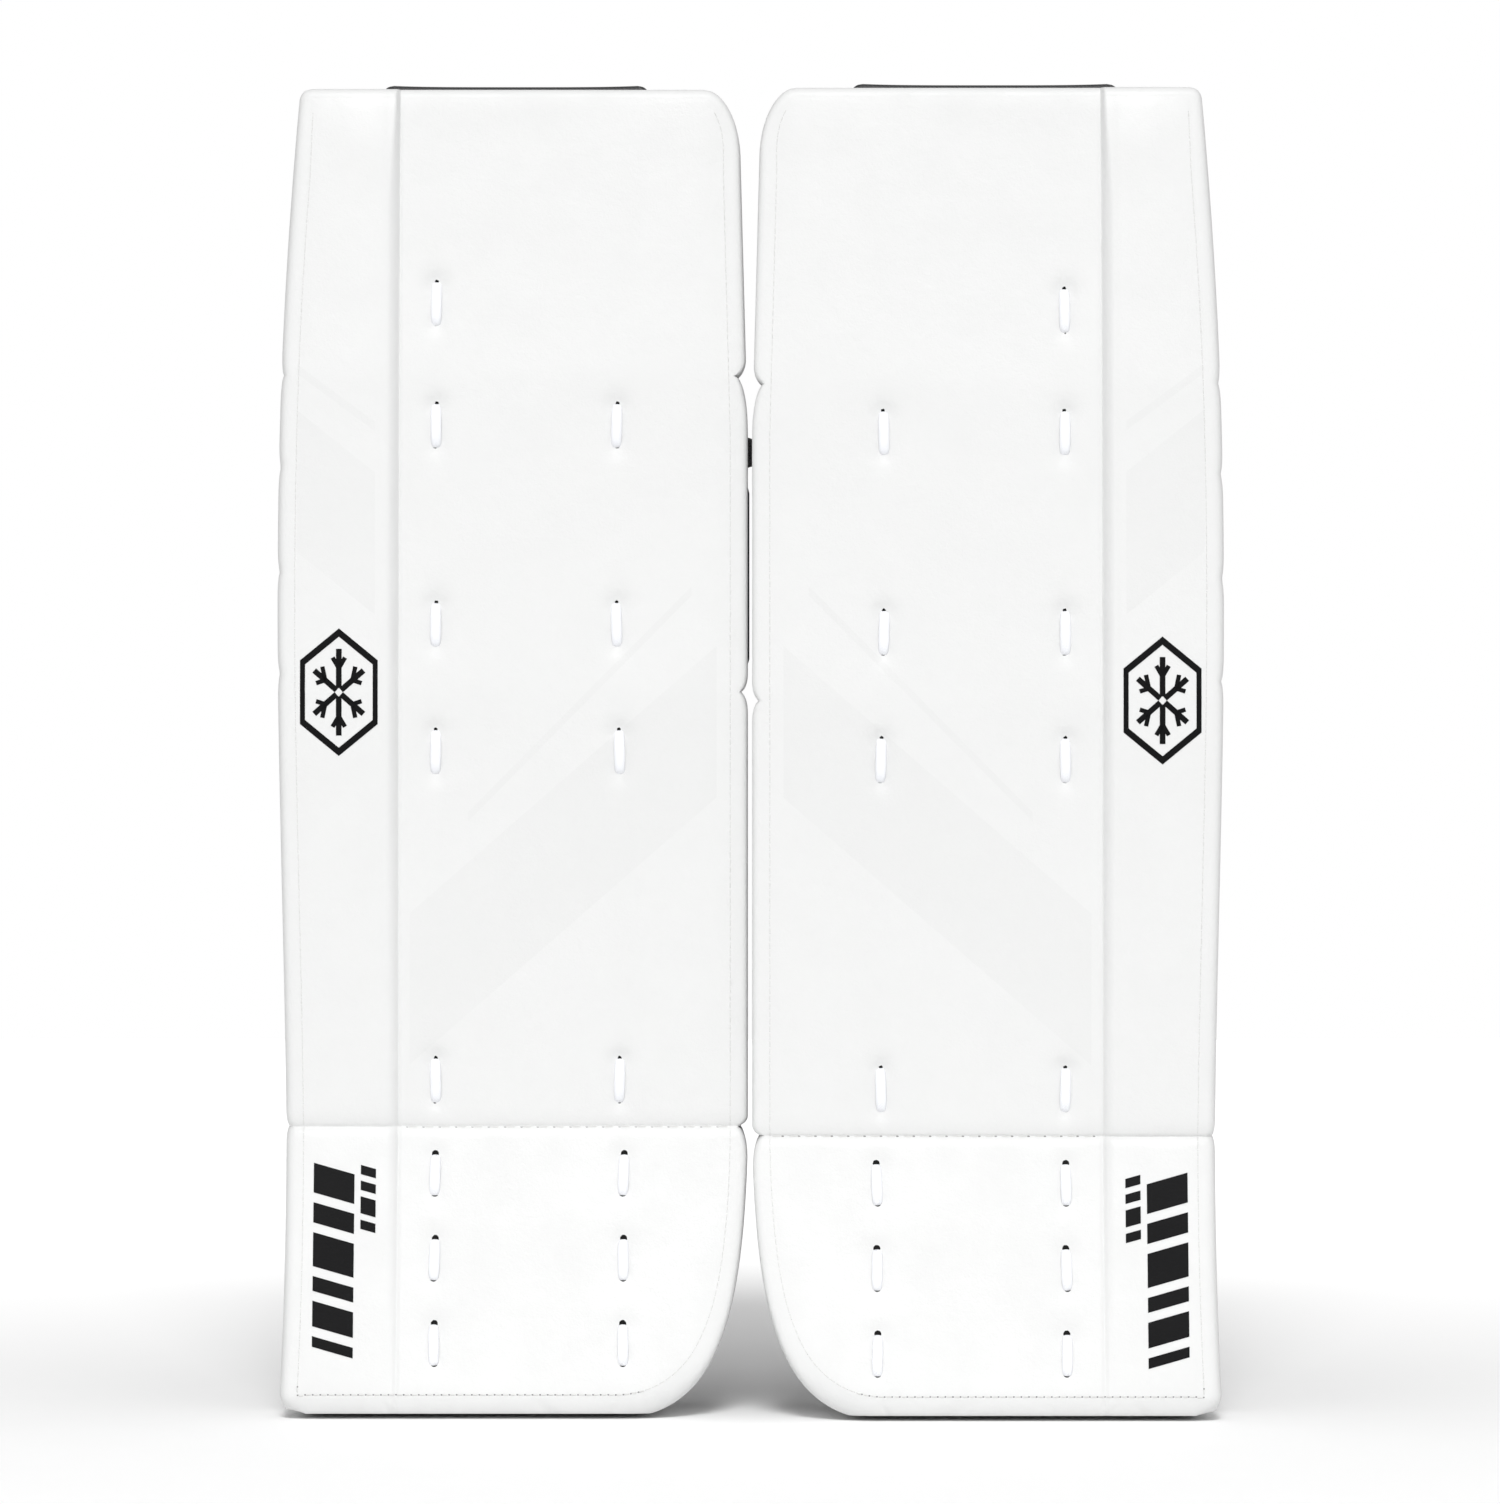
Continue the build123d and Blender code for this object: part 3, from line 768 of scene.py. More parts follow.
def side_profile(pad, seam, facing, spot_index):
    """The side panel behind each rim point: rows of (u, y, z), from the seam to the back."""
    _, _, _, rounding = EDGE_TABLES
    outward = facing - seam[:, (0, 2)]
    width = np.linalg.norm(outward, axis=1)
    outward = outward / np.maximum(width, 1e-6)[:, None]
    inner = np.clip(-outward[:, 0], 0, 1)
    outer = np.clip(outward[:, 0], 0, 1)
    cut = notch(pad, facing[:, 1]) * inner + pinch(pad, facing[:, 1]) * outer
    sides = np.abs(outward[:, 0])
    width = width - cut
    radius = rounding[spot_index] + 0.8 * cut
    power = SIDE_POWER_TABLE[spot_index]
    puffed = SIDE_PUFF_TABLE[spot_index] * np.clip(width / 7.0, 0.0, 1.0) ** 2
    drop, drop_reach, _, _ = EDGE_TABLES
    slope = EDGE_POWER * drop[spot_index] / drop_reach[spot_index]
    down = np.clip(-outward[:, 1], 0.0, 1.0)
    back = pad.back_y(facing[:, 1]) - 1.5
    front = seam[:, 1]
    steps = []
    for angle in np.linspace(0.0, 90.0, 11)[1:]:
        turn = math.radians(angle)
        reach = width * math.sin(turn)
        puff = puffed * math.sin(2 * turn) * math.cos(turn)
        rounded = radius * (1.0 - math.cos(turn)) ** power
        steps.append((reach, front + rounded + slope * reach * math.cos(turn) - puff, 1.0))
    for share in np.linspace(0.0, 1.0, 13)[1:]:
        swell = (0.5 * outer + 0.2) * math.sin(math.pi * share) - 1.0 * sides * share
        steps.append((width + swell, front + radius + (back - front - radius) * share, 1.0 - share))
    last = width - 1.0 * sides
    for angle in (20.0, 40.0, 60.0, 80.0, 90.0):
        turn = math.radians(angle)
        inset = 8.0 * (1.0 - math.cos(turn))
        steps.append((last - inset, back + 2.2 * math.sin(turn), 0.0))
    rows = []
    for reach, depth, lifted in steps:
        place = seam[:, (0, 2)] + outward * np.asarray(reach)[:, None]
        depth = depth + strip_creases(place[:, 0], np.asarray(reach) / np.maximum(width, 1.0)) * down
        height = np.maximum(place[:, 1], SOLE_LIFT * down * lifted**2)
        rows.append(np.stack([place[:, 0], depth, height], axis=1))
    return np.stack(rows, axis=1)


def wrap(values):
    """A closed run of values with its first one added at the end."""
    return np.concatenate([values, values[:1]])


def rim_walk(rim, z, columns_low, columns_high):
    """Outline positions of a pad surface's boundary: inner side, bottom, outer side and top."""
    inner = rim.at(rim.inner, 1, z)
    outer = rim.at(rim.outer, 1, z)
    bottom = rim.at(rim.bottom, 0, columns_low)
    top = rim.at(rim.top, 0, columns_high)
    return {
        "inner": on_outline(rim.inner, inner),
        "outer": on_outline(rim.outer, outer),
        "bottom": on_outline(rim.bottom, bottom),
        "top": on_outline(rim.top, top),
    }


def on_outline(run, spots):
    """Positions along a run as positions along the whole outline."""
    unwrapped = run.astype(float)
    unwrapped[run < run[0]] += len(OUTLINE)
    return np.interp(spots, np.arange(len(run)), unwrapped) % len(OUTLINE)


class Skin:
    """The whole white surface of one pad, before it is cut into its three parts."""

    def __init__(self, pad, base=2.6, fine=1.0):
        """Base and fine are the distances between rows, away from details and at them."""
        rim = FACE_RIM
        self.pad = pad
        self.z = pad_rows(pad, rim, base, fine)
        spots = [(COLUMN_KNOTS[0], 2.0, 0.6), (COLUMN_KNOTS[3], 2.0, 0.6)]
        spots += [(VALLEY, 1.0, 0.5), (VALLEY + ROLL_SLOPE, 2.0, 0.9)]
        spots += [(62.5, 6.0, 1.2), (OUTER_LACES, 5.0, 1.2)]
        self.columns = graded(COLUMN_KNOTS[0], COLUMN_KNOTS[3], base, spots)
        u = across_row(rim, self.columns, self.z)
        z = np.repeat(self.z[:, None], u.shape[1], axis=1)
        y = skin_depth(pad, u, z)
        self.face = np.stack([u, y, z], axis=2)
        self.rows, self.wide = u.shape
        self.points = [self.face.reshape(-1, 3)]
        self.count = self.rows * self.wide
        self.index = np.arange(self.count).reshape(self.rows, self.wide)
        self.faces = []
        self.band = []
        self.add_faces(self.index, np.arange(self.rows - 1).repeat(self.wide - 1))
        walk = rim_walk(rim, self.z, u[0], u[-1])
        self.sides = {}
        middle = np.arange(self.rows - 1)
        self.add_side("inner", self.index[::-1, 0], walk["inner"][::-1], middle[::-1])
        self.add_side("outer", self.index[:, -1], walk["outer"], middle)
        self.add_side("bottom", self.index[0, :], walk["bottom"], np.zeros(self.wide - 1, int))
        top_band = np.full(self.wide - 1, self.rows - 2)
        self.add_side("top", self.index[-1, ::-1], walk["top"][::-1], top_band)
        self.all_points = np.concatenate(self.points)
        self.all_faces = np.concatenate(self.faces)
        self.all_bands = np.concatenate(self.band)
        self.merge()
        self.normals = vertex_normals(self.all_points, self.all_faces)

    def add_faces(self, index, bands):
        """Adds the quads of a grid of vertices."""
        self.faces.append(grid_faces(index))
        self.band.append(bands)

    def add_side(self, name, owners, spots, bands):
        """Adds the side panel behind one side of the face."""
        seam = self.face.reshape(-1, 3)[owners]
        facing = np.stack([np.interp(spots, np.arange(len(OUTLINE) + 1), wrap(OUTLINE[:, axis]))
                           for axis in (0, 1)], axis=1)
        profile = side_profile(self.pad, seam, facing, np.round(spots).astype(int) % len(OUTLINE))
        run, steps, _ = profile.shape
        index = self.count + np.arange(run * steps).reshape(run, steps)
        self.points.append(profile.reshape(-1, 3))
        self.count += run * steps
        grid = np.concatenate([owners[:, None], index], axis=1)
        self.sides[name] = grid
        self.faces.append(grid_faces(grid))
        self.band.append(bands.repeat(steps))

    def merge(self):
        """Joins the side panels where they meet at the four corners."""
        target = np.arange(len(self.all_points))
        for first, second in (("inner", "bottom"), ("bottom", "outer"), ("outer", "top"), ("top", "inner")):
            end = self.sides[first][-1, 1:]
            start = self.sides[second][0, 1:]
            middle = (self.all_points[end] + self.all_points[start]) / 2
            self.all_points[end] = middle
            target[start] = end
        self.all_faces = target[self.all_faces]

    def part(self, first, last):
        """Vertices, faces and normals of the bands from first up to last."""
        chosen = (self.all_bands >= first) & (self.all_bands < last)
        used, faces = only_used(self.all_points, self.all_faces[chosen])
        return self.all_points[used], faces, self.normals[used]


def split_rows(pad, z):
    """Row numbers where the pad's surfaces are cut: half way up the shin and the knee."""
    low = (pad.line["boot"] + pad.line["knee"]) / 2
    high = (pad.line["knee"] + pad.line["thigh"]) / 2
    cuts = [int(np.argmin(np.abs(z - place))) for place in (low, high)]
    return {"lower": (0, cuts[0]), "middle": (cuts[0], cuts[1]), "upper": (cuts[1], len(z) - 1)}


def bend(piece, pad, part):
    """Bakes a piece's placement into its mesh; the names of the sections beside its flex line are made but
    not used.
    """
    below, above, line = SPLITS[part]
    pad.name(below)
    pad.name(above)
    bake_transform(piece)


def frame_normals(pad, normals):
    """Pad normals turned into the frame."""
    out = normals.copy()
    out[:, 0] *= pad.sign
    return out


COVERS = {
    "lower": ("boot_cover", "boot_core"),
    "middle": ("shin_cover", "shin_core"),
    "upper": ("knee_cover", "knee_core", "thigh_cover", "thigh_core"),
}


def make_skins(pad, material):
    """The white skin of a pad in three parts, cut half way up the shin and the knee."""
    skin = Skin(pad)
    for part, (first, last) in split_rows(pad, skin.z).items():
        points, faces, normals = skin.part(first, last)
        normals = frame_normals(pad, normals)
        piece = make_mesh(
            pad.name(f"skin_{part}"), pad.world(points), turned(pad, faces), [material],
            rest=points, normals=normals,
        )
        bend(piece, pad, part)
        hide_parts(*[pad.name(node) for node in COVERS[part]])
    return skin


# ---------------------------------------------------------------- floor, light and camera

CAMERA_HEIGHT = 0.34
CAMERA_DISTANCE = 3.6
AIM_HEIGHT = 0.3174
PICTURE_HEIGHT = 0.719
SENSOR = 36.0
SUN_ELEVATION = 40.5
SUN_AZIMUTHS = (-3.0, 3.0)
SUN_STRENGTH = 0.98
SUN_SPREAD = 15.0
SKY_FRONT = 0.43
SKY_BACK = 0.5
SKY_FADE = 0.25
SKY_FADE_HEIGHTS = (0.05, 0.5)
SKY_TURN = 0.3
SKY_TOP = 0.44
SKY_BELOW = 0.6
FLOOR_GLOW = 0.25
FLOOR_GLOW_FROM = 300.0
FLOOR_GLOW_FULL = 1400.0


def make_camera():
    """A long lens straight in front of the pair, aimed just below its own height."""
    plane = np.mean([pad.face for pad in PADS]) * MM
    data = bpy.data.cameras.new("camera")
    data.sensor_width = SENSOR
    data.lens = SENSOR * CAMERA_DISTANCE / PICTURE_HEIGHT
    data.clip_end = 100.0
    camera = bpy.data.objects.new("camera", data)
    camera.location = (0.0, plane - CAMERA_DISTANCE, CAMERA_HEIGHT)
    aim = Vector((0.0, plane, AIM_HEIGHT)) - camera.location
    camera.rotation_mode = "QUATERNION"
    camera.rotation_quaternion = aim.to_track_quat("-Z", "Y")
    bpy.context.scene.collection.objects.link(camera)
    bpy.context.scene.camera = camera


def make_world():
    """White surroundings. Behind the pair they are bright low down and dim higher up."""
    world = bpy.data.worlds.new("studio")
    world.use_nodes = True
    graph = Nodes(world.node_tree)
    coordinates = graph.node("ShaderNodeTexCoord").outputs["Generated"]
    split = graph.node("ShaderNodeSeparateXYZ", Vector=coordinates)
    back, up = split.outputs[1], split.outputs[2]
    across = graph.spread(back, SKY_FRONT, SKY_BACK, -SKY_TURN, SKY_TURN)
    lift = graph.spread(up, SKY_BELOW, 1.0, -0.1, 0.0)
    fade = graph.spread(up, 1.0, SKY_FADE, *SKY_FADE_HEIGHTS)
    behind = graph.spread(back, 0.0, 1.0, -SKY_TURN, SKY_TURN)
    dimmed = graph.node("ShaderNodeMix", Factor=behind, A=1.0, B=fade).outputs["Result"]
    level = graph.math("MULTIPLY", graph.math("MULTIPLY", across, dimmed), lift)
    height = graph.spread(up, 0.0, 1.0)
    sky = graph.math("MULTIPLY_ADD", graph.math("MULTIPLY", height, height), SKY_TOP, level)
    seen = graph.math("MAXIMUM", sky, graph.node("ShaderNodeLightPath").outputs["Is Camera Ray"])
    background = world.node_tree.nodes["Background"]
    graph.feed(background.inputs["Strength"], seen)
    graph.feed(background.inputs["Color"], (1.0, 1.0, 1.0, 1.0))
    bpy.context.scene.world = world


def make_light():
    """Two broad lights side by side, in front of the pair and above it."""
    elevation = math.radians(SUN_ELEVATION)
    for azimuth in SUN_AZIMUTHS:
        data = bpy.data.lights.new("key", "SUN")
        data.energy = SUN_STRENGTH
        data.angle = math.radians(SUN_SPREAD)
        sun = bpy.data.objects.new("key", data)
        turn = math.radians(azimuth)
        level = math.cos(elevation)
        toward = Vector((level * math.sin(turn), level * math.cos(turn), -math.sin(elevation)))
        sun.rotation_mode = "QUATERNION"
        sun.rotation_quaternion = toward.to_track_quat("-Z", "Y")
        bpy.context.scene.collection.objects.link(sun)


def make_floor():
    """A plain white sheet of floor under and behind the pair."""
    graph = Graph("studio_floor", (0.98, 0.98, 0.98), 0.9, Specular_IOR_Level=0.0)
    graph.set("Emission Color", (1.0, 1.0, 1.0, 1.0))
    vector = graph.object_mm()
    away = graph.node("ShaderNodeVectorMath", {"operation": "LENGTH"})
    graph.feed(away.inputs[0], vector)
    glow = graph.spread(away.outputs["Value"], 0.0, FLOOR_GLOW, FLOOR_GLOW_FROM, FLOOR_GLOW_FULL)
    graph.output("Emission Strength", glow)
    mottle = graph.noise(vector, 0.02, 2.0)
    graph.output("Base Color", graph.mix(mottle, (0.975, 0.975, 0.975, 1), (0.985, 0.985, 0.985, 1)))
    width = np.linspace(-3.0, 3.0, 13)
    depth = np.linspace(-4.0, 4.0, 12)
    grid = np.array([[(x, y, 0.0) for x in width] for y in depth])
    index = np.arange(grid.shape[0] * grid.shape[1]).reshape(grid.shape[:2])
    floor = make_mesh("floor", grid.reshape(-1, 3), grid_faces(index), [graph.material])


# ---------------------------------------------------------------- laces, stitches and marks

LACE_STANDS = 0.9
LACE_THICK = 2.3
LACE_SIDES = 16
LACE_GIRTH = 13.0
# Length and width of the painted shade ovals at the holes that a lace comes out of and goes back into, and
# how far they stray
UPPER_HOLE = (3.9, 3.5)
LOWER_HOLE = (2.8, 3.3)
HOLE_STRAYS = 0.4
STITCH_PITCH = 3.6
STITCH_LENGTH = 2.5
STITCH_INSET = 1.5
BOOT_STITCH_PITCH = 7.7
BOOT_STITCH_LENGTH = 4.6
FACE_SEAM_START = 9.0
# The thread's radius and the length of the needle hole's painted shade oval: up the sides, along the sole,
# and on the boot seam
FINE_STITCH = (0.2, 0.32)
SOLE_STITCH = (0.36, 1.0)
BOOT_STITCH = (0.42, 1.5)
MARK_LIFT = 0.14
SEED = 11


def on_face(pad, places, lift=0.0):
    """Points on the finished front surface at places (u, z), and the surface's outward normals."""
    places = np.asarray(places, float)
    u, z = places[:, 0], places[:, 1]
    step = 0.35
    here = skin_depth(pad, u, z)
    across = (skin_depth(pad, u + step, z) - skin_depth(pad, u - step, z)) / (2 * step)
    up = (skin_depth(pad, u, z + step) - skin_depth(pad, u, z - step)) / (2 * step)
    normal = np.stack([across, -np.ones_like(u), up], axis=1)
    normal = normal / np.linalg.norm(normal, axis=1)[:, None]
    return np.stack([u, here, z], axis=1) + normal * lift, normal


def part_of(pad, heights):
    """Which of the three skin parts each height belongs to."""
    low = (pad.line["boot"] + pad.line["knee"]) / 2
    high = (pad.line["knee"] + pad.line["thigh"]) / 2
    return np.where(heights < low, "lower", np.where(heights < high, "middle", "upper"))


def spaced(line, pitch):
    """Places along a polyline, pitch apart, with the direction of the line at each."""
    steps = np.linalg.norm(np.diff(line, axis=0), axis=1)
    run = np.concatenate([[0.0], np.cumsum(steps)])
    count = max(2, int(run[-1] / pitch))
    spots = (np.arange(count) + 0.5) * run[-1] / count
    places = np.stack([np.interp(spots, run, line[:, axis]) for axis in range(line.shape[1])], axis=1)
    ahead = np.stack([np.interp(spots + 0.4, run, line[:, axis]) for axis in range(line.shape[1])], axis=1)
    behind = np.stack([np.interp(spots - 0.4, run, line[:, axis]) for axis in range(line.shape[1])], axis=1)
    along = ahead - behind
    return places, along / np.maximum(np.linalg.norm(along, axis=1), 1e-9)[:, None]


def thread(points, along, normals, length, radius, sides=6):
    """Short raised stitches: vertices and faces, whose ends sink into the surface."""
    sideways = np.cross(along, normals)
    shape = ((-0.5, -0.9), (-0.36, 0.1), (0.0, 0.45), (0.36, 0.1), (0.5, -0.9))
    rings = []
    for run, rise in shape:
        centre = points + along * (run * length) + normals * (rise * radius)
        for turn in np.arange(sides) * 2 * math.pi / sides:
            ring = sideways * (math.cos(turn) * radius) + normals * (math.sin(turn) * radius)
            rings.append(centre + ring)
    count = len(points)
    vertices = np.stack(rings, axis=1)
    index = np.arange(count * len(rings)).reshape(count, len(shape), sides)
    faces = []
    for ring in range(len(shape) - 1):
        for side in range(sides):
            after = (side + 1) % sides
            faces.append(np.stack([index[:, ring, side], index[:, ring, after],
                                   index[:, ring + 1, after], index[:, ring + 1, side]], axis=1))
    return vertices.reshape(-1, 3), np.concatenate(faces)


def ovals(points, along, normals, long, wide, sides=10):
    """Small flat ovals lying on a surface."""
    sideways = np.cross(along, normals)
    turns = np.arange(sides) * 2 * math.pi / sides
    ring = [points + along * (math.cos(t) * long / 2) + sideways * (math.sin(t) * wide / 2) for t in turns]
    vertices = np.stack(ring, axis=1)
    index = np.arange(len(points) * sides).reshape(len(points), sides)
    return vertices.reshape(-1, 3), [list(row) for row in index]


def lift_direction(pad, along2d, places):
    """A direction (du, dz) along the face as a direction in pad space."""
    ahead, _ = on_face(pad, places + along2d * 0.4)
    behind, _ = on_face(pad, places - along2d * 0.4)
    along = ahead - behind
    return along / np.linalg.norm(along, axis=1)[:, None]


def rim_line():
    """The seam's line round the face, from the top inner corner down, round and up the outer edge."""
    inset = FACE_RIM.inside - NORMALS * STITCH_INSET
    run = np.concatenate([FACE_RIM.inner, FACE_RIM.bottom[1:], FACE_RIM.outer[1:]])
    return inset[run]


def seam_stitches(pad, material, hole):
    """The stitching round the face and across the boot seam, cut where the skin is cut."""
    line = rim_line()
    places, along2d = spaced(line, STITCH_PITCH)
    keep = places[:, 1] < PAD_TOP - 12.0
    boot = pad.line["boot"]
    across = np.array([[FACE_SEAM_START, boot - 0.2], [VALLEY - 3.0, boot - 0.2]])
    boot_places, boot_along = spaced(across, BOOT_STITCH_PITCH)
    for part in SPLITS:
        here = keep & (part_of(pad, places[:, 1]) == part)
        low = places[:, 1] < FACE_RIM.low + 4.0
        groups = [(places[here & ~low], along2d[here & ~low], STITCH_LENGTH, *FINE_STITCH),
                  (places[here & low], along2d[here & low], STITCH_LENGTH, *SOLE_STITCH)]
        if part == "lower":
            groups.append((boot_places, boot_along, BOOT_STITCH_LENGTH, *BOOT_STITCH))
        threads, holes = [], []
        for spots, direction, length, radius, opening in groups:
            points, normals = on_face(pad, spots)
            along = lift_direction(pad, direction, spots)
            threads.append(thread(points, along, normals, length, radius))
            # Grey ovals of painted shade at the stitch ends, for the shaded needle holes
            ends, end_normals = on_face(pad, spots + direction * (length / 2 + 0.3), 0.05)
            holes.append(ovals(ends, along, end_normals, opening, 0.75 * opening))
        make_part(pad, f"stitches_{part}", *joined(threads), material, part)
        make_part(pad, f"needle_holes_{part}", *joined(holes), hole, part)


def make_part(pad, name, points, faces, material, part):
    """A piece that lies on one of the skin's three parts."""
    piece = make_mesh(pad.name(name), pad.world(points), turned(pad, faces), [material], rest=points)
    bend(piece, pad, part)


def lace_stitch(pad, section, across, top, rng):
    """One lace: a flat cord that comes out of its upper hole and goes back in below."""
    upper = section_height(pad, section, top)
    tilt = rng.uniform(-0.035, 0.035)
    share = np.concatenate([[-0.05, -0.03, 0.0, 0.03, 0.07, 0.13], np.linspace(0.2, 0.8, 9),
                            [0.87, 0.93, 0.97, 1.0, 1.03, 1.05]])
    z = upper - np.clip(share, 0.03, 0.97) * LACE_LENGTH[section]
    u = across + tilt * (z - upper + LACE_LENGTH[section] / 2)
    surface = on_face(pad, np.stack([u, z], axis=1))[0]
    edge_share = np.minimum(share, 1.0 - share)
    stand = np.interp(edge_share, (-0.05, 0.0, 0.05, 0.16), (-3.4, -1.6, 0.1, LACE_STANDS))
    middle = on_face(pad, np.array([[across, upper - LACE_LENGTH[section] / 2]]))[1][0]
    centre = surface + middle * stand[:, None]
    along = np.gradient(centre, axis=0)
    along = along / np.linalg.norm(along, axis=1)[:, None]
    sideways = np.cross(along, middle)
    sideways = sideways / np.linalg.norm(sideways, axis=1)[:, None]
    out = np.cross(sideways, along)
    turns = np.arange(LACE_SIDES) * 2 * math.pi / LACE_SIDES
    narrow = np.interp(edge_share, (0.0, 0.09, 0.3), (0.72, 0.92, 1.0))[:, None]
    rings = []
    for turn in turns:
        wide = math.copysign(abs(math.cos(turn)) ** 0.75, math.cos(turn)) * LACE_WIDTH / 2
        thick = math.copysign(abs(math.sin(turn)) ** 0.85, math.sin(turn)) * LACE_THICK / 2
        rings.append(centre + sideways * wide * narrow + out * thick)
    vertices = np.stack(rings, axis=1)
    rest = np.zeros_like(vertices)
    rest[:, :, 0] = (turns / (2 * math.pi) * LACE_GIRTH)[None, :]
    rest[:, :, 2] = (share * LACE_LENGTH[section])[:, None]
    index = np.arange(vertices.shape[0] * LACE_SIDES).reshape(-1, LACE_SIDES)
    index = np.concatenate([index, index[:, :1]], axis=1)
    return vertices.reshape(-1, 3), grid_faces(index), rest.reshape(-1, 3)


def make_laces(pad, cord, hole, rng):
    """Every section's laces, with black ovals of painted shade at the holes that they go through."""
    for section in LACE_TOPS:
        cords, rests = [], []
        spots = []
        for across, top in lace_places(pad, section):
            vertices, quads, rest = lace_stitch(pad, section, across, top, rng)
            cords.append((vertices, quads))
            rests.append(rest)
            upper = section_height(pad, section, top)
            lower = upper - LACE_LENGTH[section]
            for height in (upper, lower):
                spots.append((across + rng.uniform(-HOLE_STRAYS, HOLE_STRAYS), height + 0.5))
        spots = np.array(spots)
        # Near-black ovals of painted shade, for the shaded insides of the lace holes
        holes = []
        for size, chosen in ((UPPER_HOLE, spots[::2]), (LOWER_HOLE, spots[1::2])):
            place, normals = on_face(pad, chosen, 0.1)
            along = lift_direction(pad, np.tile([[0.0, 1.0]], (len(chosen), 1)), chosen)
            holes.append(ovals(place, along, normals, *size, 14))
        points, faces = joined(cords)
        piece = make_mesh(pad.name(f"laces_{section}"), pad.world(points), turned(pad, faces), [cord],
                          rest=np.concatenate(rests))
        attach(piece, pad.name(section))
        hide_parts(pad.name(f"{section}_laces"))
        points, faces = joined(holes)
        piece = make_mesh(pad.name(f"lace_holes_{section}"), pad.world(points), turned(pad, faces), [hole])
        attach(piece, pad.name(section))


def bar(corners, spacing=2.4):
    """A four-sided patch as a grid of (u, z) places."""
    a, b, c, d = (np.array(corner, float) for corner in corners)
    long = max(2, int(math.ceil(max(np.linalg.norm(b - a), np.linalg.norm(c - d)) / spacing)) + 1)
    wide = max(2, int(math.ceil(max(np.linalg.norm(d - a), np.linalg.norm(c - b)) / spacing)) + 1)
    s = np.linspace(0, 1, long)[None, :, None]
    t = np.linspace(0, 1, wide)[:, None, None]
    return (a * (1 - s) + b * s) * (1 - t) + (d * (1 - s) + c * s) * t


def stroke(start, end, width):
    """A straight stroke with square ends, as a patch."""
    start, end = np.array(start, float), np.array(end, float)
    run = end - start
    side = np.array([-run[1], run[0]]) / np.linalg.norm(run) * width / 2
    return bar((start - side, end - side, end + side, start + side))


def print_mark(pad, name, patches, material):
    """A thin printed mark that hugs the front surface."""
    groups = []
    for patch in patches:
        flat = patch.reshape(-1, 2)
        place, _ = on_face(pad, flat, MARK_LIFT)
        index = np.arange(len(flat)).reshape(patch.shape[:2])
        groups.append((place, outward_faces(place, grid_faces(index))))
    points, faces = joined(groups)
    piece = make_mesh(pad.name(name), pad.world(points), turned(pad, faces), [material], rest=points)
    return piece


def outward_faces(points, faces):
    """Faces of a patch on the front, wound so that they look forwards."""
    first = np.cross(points[faces[0, 2]] - points[faces[0, 0]], points[faces[0, 3]] - points[faces[0, 1]])
    return faces if first[1] < 0 else faces[:, ::-1]


# The snowflake: its middle, the six-sided ring's half width and height and its inner edge, and its arms
FLAKE_ACROSS = 196.6
RING_SIZE = (18.6, 30.5)
RING_CORNERS = ((0, 1), (1, 0.5), (1, -0.5), (0, -1), (-1, -0.5), (-1, 0.5))
RING_INSIDE = 0.87
FLAKE_STRETCH = (0.80, 1.22)
ARM = {"start": 1.6, "end": 17.0, "width": 2.7}
BRANCH = {"root": 9.4, "length": 5.6, "width": 2.1, "lean": 42.0}

# Columns of bars on the boot: upper end, outer and inner edge, slant, gap, and each bar's height
BAR_COLUMNS = (
    (121.0, 208.5, 189.0, 5.5, 4.6, (14.0, 9.5, 16.0, 7.0, 12.0, 5.0)),
    (120.0, 186.0, 178.8, 2.0, 3.0, (4.4, 4.4, 8.0, 4.4)),
)
BAR_LINE = 138.0


def flake_way(angle):
    """A direction in the snowflake, which is stretched upwards."""
    return np.array([math.cos(angle) * FLAKE_STRETCH[0], math.sin(angle) * FLAKE_STRETCH[1]])


def roll_mark(pad, material):
    """A plain six-armed snowflake inside a six-sided ring, on the roll at the knee."""
    middle = np.array([FLAKE_ACROSS, pad.line["knee"]])
    size = np.array(RING_SIZE)
    patches = []
    for first, second in zip(RING_CORNERS, RING_CORNERS[1:] + RING_CORNERS[:1]):
        a, b = middle + size * first, middle + size * second
        c, d = middle + RING_INSIDE * size * second, middle + RING_INSIDE * size * first
        patches.append(bar((a, b, c, d)))
    for turn in range(6):
        angle = math.radians(60.0 * turn + 90.0)
        way = flake_way(angle)
        patches.append(stroke(middle + way * ARM["start"], middle + way * ARM["end"], ARM["width"]))
        for side in (-1, 1):
            off = flake_way(angle + side * math.radians(BRANCH["lean"]))
            root = middle + way * BRANCH["root"]
            patches.append(stroke(root, root + off * BRANCH["length"], BRANCH["width"]))
    piece = print_mark(pad, "snowflake_mark", patches, material)
    bend(piece, pad, "middle")


def boot_marks(pad, material):
    """Slanted bars in two columns on the boot's roll."""
    patches = []
    for upper, outer, inner, slant, gap, heights in BAR_COLUMNS:
        top = upper + pad.line["boot"] - BAR_LINE
        for height in heights:
            corners = ((outer, top), (inner, top - slant), (inner, top - slant - height),
                       (outer, top - height))
            patches.append(bar(corners))
            top -= height + gap
    piece = print_mark(pad, "boot_bars_mark", patches, material)
    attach(piece, pad.name("boot"))


